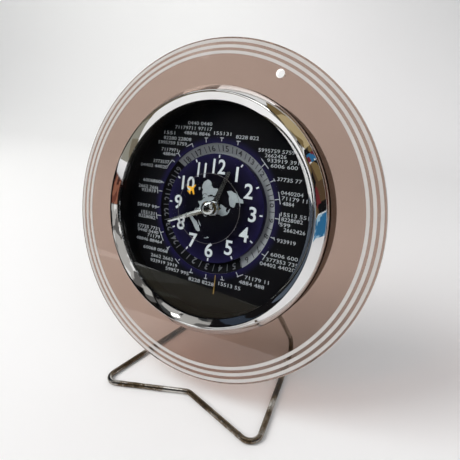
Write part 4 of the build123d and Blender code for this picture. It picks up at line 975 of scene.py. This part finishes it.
# The hands: their piece, node and body, then their length, the width of their root and tip and their bore
# in millimetres, their angle clockwise from the top in degrees, and the height of their ridge
HANDS = (
    ("hour_hand_blade", "hour_hand", "hour", 24.6, 3.6, 2.4, 2.9, 20.6, 0.07),
    ("minute_hand_blade", "minute_hand", "minute", 32.5, 3.2, 1.7, 1.3, 247.7, 0.33),
)


def add_hand(material, name, node, body, length, root, tip, bore, angle, fold):
    """A tapered hand with a ridge along its middle, and a round boss."""
    rows = (
        (BLADE_START, root, fold), (length - POINT_LENGTH, tip, fold), (length, tip * POINT_SHARE, 0)
    )
    shape = bmesh.new()
    bmesh.ops.create_grid(shape, x_segments=2, y_segments=2, size=0.5)
    for vertex in shape.verts:
        side, row = round(vertex.co.x * 2), round(vertex.co.y * 2)
        along, width, ridge = rows[row + 1]
        vertex.co = (side * width / 2, along, BLADE_TOP + (0 if side else ridge))
    for vertex in extrude_edges(shape, open_border(shape)):
        vertex.co.z = BLADE_FOOT
    bmesh.ops.holes_fill(shape, edges=open_border(shape), sides=0)
    bmesh.ops.recalc_face_normals(shape, faces=shape.faces)
    back = back_of(node)
    lay(shape, on_dial(back, turn=-angle))
    boss = ring_shape([(bore, BOSS[0][1]), *BOSS, (bore, BOSS[-1][1])], steps=48)
    add_mesh(shape, new_mesh("boss", boss), on_dial(back))
    soften(shape, angle=12)
    add_piece(name, shape, body, material, (node,))


class CLOCK_OT_hands(bpy.types.Operator):
    """Adds the ridged hour and minute hands"""

    bl_idname = "clock.hands"
    bl_label = "Hands"

    def execute(self, context):
        metal = grained(
            "hand_metal", linear(228, 229, 230), 0.13, 1.0, grain=2600.0, mottle=0.05, bump=0.02
        )
        for hand in HANDS:
            add_hand(metal, *hand)
        return {"FINISHED"}


# A thin grey line at the seconds disc's rim, painted shade that stands for how its clear edge shows: its
# radii and its height, in millimetres
SECONDS_LINE = (20.62, 20.86, 0, 0.03)


class CLOCK_OT_seconds(bpy.types.Operator):
    """Finishes the clear seconds disc and its aeroplane"""

    bl_idname = "clock.seconds"
    bl_label = "Seconds Disc and Aeroplane"

    def execute(self, context):
        plastic = clear_material("clear_seconds_plastic", (0.97,) * 3, (0.94,) * 3, 1.2, 0.02)
        yellow = grained("aeroplane_paint", colours().aeroplane, 0.4, grain=2200.0, mottle=0.1, bump=0.1)
        edge = grained("seconds_rim_painted_line", linear(84, 78, 80), 0.4, grain=1800.0)
        paint(plastic, "seconds_disc")
        paint(yellow, "aeroplane")
        place = on_dial(front_of("seconds_disc"))
        # The grey ring at the rim is painted shade for the clear disc's edge
        add_ring("seconds_edge", "seconds", edge, band(*SECONDS_LINE), steps=96,
                 angle=40, place=place)
        return {"FINISHED"}


# A thin dark ring round the case's front edge: how far out from the case, and how high, in millimetres
EDGE_RING_SECTION = ((0.02, -3.6), (0.4, -3.6), (0.5, -3.3), (0.45, -3.02), (0.02, -3.02))


class CLOCK_OT_case(bpy.types.Operator):
    """Finishes the case, its hood, the battery door, the knob, the screws and the sockets"""

    bl_idname = "clock.case"
    bl_label = "Case"

    def execute(self, context):
        moulded = grained("moulded_case", colours().case, 0.42, grain=1400.0, mottle=0.06, bump=0.25)
        black = grained("black_moulding", linear(34, 34, 36), 0.5, grain=1600.0, mottle=0.1, bump=0.2)
        steel = grained(
            "turned_steel", linear(168, 168, 170), 0.28, 1.0, grain=1500.0, mottle=0.08, bump=0.1
        )
        nickel = grained("nickel_sleeve", linear(176, 170, 158), 0.3, 1.0, mottle=0.15)
        for name, node, body, material, slot in (
            ("rear_case_shell", "rear_case", "case", moulded, "case_plastic"),
            ("movement_hood_shell", "movement_hood", "case", moulded, "case_plastic"),
            ("battery_door_panel", "battery_door", "door", moulded, "case_plastic"),
            ("setting_knob_grip", "setting_knob", "setting", black, "black_plastic"),
            ("socket_sleeves", "stand_sockets", "case", nickel, "nickel_wire"),
            ("case_screw_heads", "case_screws", "case", steel, "steel"),
        ):
            smooth_copy(name, node, body, material)
        paint(steel, "bezel_screws", "movement_screws")
        side = radius_of("rear_case")
        edge_ring = [(side + outward, height) for outward, height in EDGE_RING_SECTION]
        # A thin dark ring where a dark line shows at the case's front edge
        add_ring("case_dark_ring", "case", black, edge_ring, steps=160)
        smooth_copy("carrier_moulding", "dial_carrier", "case", black)
        return {"FINISHED"}


# The corners of the wire, in millimetres, from one sleeve round the front to the other
WIRE_CORNERS = (
    (38.696, 1.133, 62.995), (38.696, 49.101, 1.6), (52.996, -45.825, 1.6), (0.0, -27.425, 1.6),
    (-52.996, -45.825, 1.6), (-38.696, 49.101, 1.6), (-38.696, 1.133, 62.995),
)
WIRE_RADIUS = 1.6
WIRE_BEND = 6.0


class CLOCK_OT_stand(bpy.types.Operator):
    """Bends the wire stand round its corners"""

    bl_idname = "clock.stand"
    bl_label = "Wire Stand"

    def execute(self, context):
        corners = [Vector(corner) for corner in WIRE_CORNERS]
        knots = [(corners[0],) * 3]
        for before, corner, after in zip(corners, corners[1:], corners[2:]):
            back, ahead = (before - corner).normalized(), (after - corner).normalized()
            half = back.angle(ahead) / 2
            reach = WIRE_BEND / math.tan(half)
            pull = reach - 4 / 3 * math.tan((math.pi / 2 - half) / 2) * WIRE_BEND
            start, end = corner + back * reach, corner + ahead * reach
            knots.append((start + back, start, corner + back * pull))
            knots.append((corner + ahead * pull, end, end + ahead))
        knots.append((corners[-1],) * 3)
        curve = bpy.data.curves.new("wire", "CURVE")
        curve.dimensions = "3D"
        curve.resolution_u = 14
        curve.bevel_depth = WIRE_RADIUS
        curve.bevel_resolution = 5
        curve.use_fill_caps = True
        line = curve.splines.new("BEZIER")
        line.bezier_points.add(len(knots) - 1)
        for point, (left, middle, right) in zip(line.bezier_points, knots):
            point.handle_left_type = point.handle_right_type = "FREE"
            point.handle_left, point.co, point.handle_right = left, middle, right
        shape = bmesh.new()
        add_mesh(shape, mesh_of(curve), Matrix.Scale(MM, 4))
        bmesh.ops.remove_doubles(shape, verts=shape.verts, dist=0.001 * MM)
        bmesh.ops.recalc_face_normals(shape, faces=shape.faces)
        soften(shape, angle=45)
        add_piece("stand_wire_bent", shape, "stand", wire_material(), ("stand_wire",))
        return {"FINISHED"}


# Finishes inside the case: name, colour, roughness, metal, grain, the nodes that have it, and the rest
MOVEMENT_FINISHES = (
    ("movement_moulding", (38, 38, 40), 0.5, 0.0, 1500.0,
     "movement_base middle_plate train_bridge movement_cover coil_bobbin plate_spacers", {}),
    ("acetal_wheel", (226, 223, 214), 0.45, 0.0, 1200.0,
     "hour_wheel day_idler day_wheel", {"mottle": 0.04}),
    ("turned_brass", (204, 168, 98), 0.28, 1.0, 1500.0,
     "dial_nut cannon_pinion minute_wheel centre_wheel third_wheel fifth_wheel seconds_collar",
     {"mottle": 0.08}),
    ("arbor_steel", (164, 165, 168), 0.25, 1.0, 1800.0,
     "second_arbor rotor_pinion setting_arbor battery_spring battery_plate quartz_crystal",
     {"mottle": 0.08}),
    ("stator_steel", (140, 140, 142), 0.4, 1.0, 1200.0, "stator coil_core", {"stretch": (1, 6, 1)}),
    ("enamelled_copper", (172, 92, 48), 0.3, 1.0, 500.0,
     "coil_winding", {"stretch": (40, 1, 1), "bump": 0.6}),
    ("magnet_grey", (92, 92, 96), 0.45, 0.8, 1400.0, "rotor_magnet", {}),
    ("board_lacquer", (40, 96, 58), 0.35, 0.0, 700.0, "circuit_board", {"mottle": 0.15}),
    ("chip_resin", (22, 22, 24), 0.35, 0.0, 1500.0, "chip", {}),
    ("cell_sleeve", (74, 76, 82), 0.3, 0.4, 900.0, "battery", {"mottle": 0.1}),
)


class CLOCK_OT_movement(bpy.types.Operator):
    """Finishes the pieces of the movement inside the case"""

    bl_idname = "clock.movement"
    bl_label = "Movement"

    def execute(self, context):
        for name, colour, roughness, metallic, grain, nodes, extras in MOVEMENT_FINISHES:
            finish = grained(name, linear(*colour), roughness, metallic, grain, **extras)
            paint(finish, *nodes.split())
        return {"FINISHED"}


# The operators, in the order in which main() calls them and the panel lists them
PIECES = (
    CLOCK_OT_stage, CLOCK_OT_disc, CLOCK_OT_bezel, CLOCK_OT_dials, CLOCK_OT_zones, CLOCK_OT_hours,
    CLOCK_OT_day_numbers, CLOCK_OT_map, CLOCK_OT_hands, CLOCK_OT_seconds, CLOCK_OT_case, CLOCK_OT_stand,
    CLOCK_OT_movement,
)


class CLOCK_PT_panel(bpy.types.Panel):
    """Lists the clock's pieces and their settings"""

    bl_idname = "CLOCK_PT_panel"
    bl_label = "World Time Clock"
    bl_space_type = "VIEW_3D"
    bl_region_type = "UI"
    bl_category = "Clock"

    def draw(self, context):
        layout = self.layout
        for piece in PIECES:
            layout.operator(piece.bl_idname)
        for settings in (context.scene.clock_sizes, context.scene.clock_colours):
            box = layout.box()
            for name in settings.__annotations__:
                box.prop(settings, name)


CLASSES = (ClockSizes, ClockColours, *PIECES, CLOCK_PT_panel)


def register():
    for item in CLASSES:
        bpy.utils.register_class(item)
    bpy.types.Scene.clock_sizes = PointerProperty(type=ClockSizes)
    bpy.types.Scene.clock_colours = PointerProperty(type=ClockColours)


def unregister():
    del bpy.types.Scene.clock_colours
    del bpy.types.Scene.clock_sizes
    for item in reversed(CLASSES):
        bpy.utils.unregister_class(item)


def main():
    register()
    bpy.ops.clock.stage()
    bpy.ops.clock.disc()
    bpy.ops.clock.bezel()
    bpy.ops.clock.dials()
    bpy.ops.clock.zones()
    bpy.ops.clock.hours()
    bpy.ops.clock.day_numbers()
    bpy.ops.clock.map()
    bpy.ops.clock.hands()
    bpy.ops.clock.seconds()
    bpy.ops.clock.case()
    bpy.ops.clock.stand()
    bpy.ops.clock.movement()


if __name__ == "__main__":
    main()
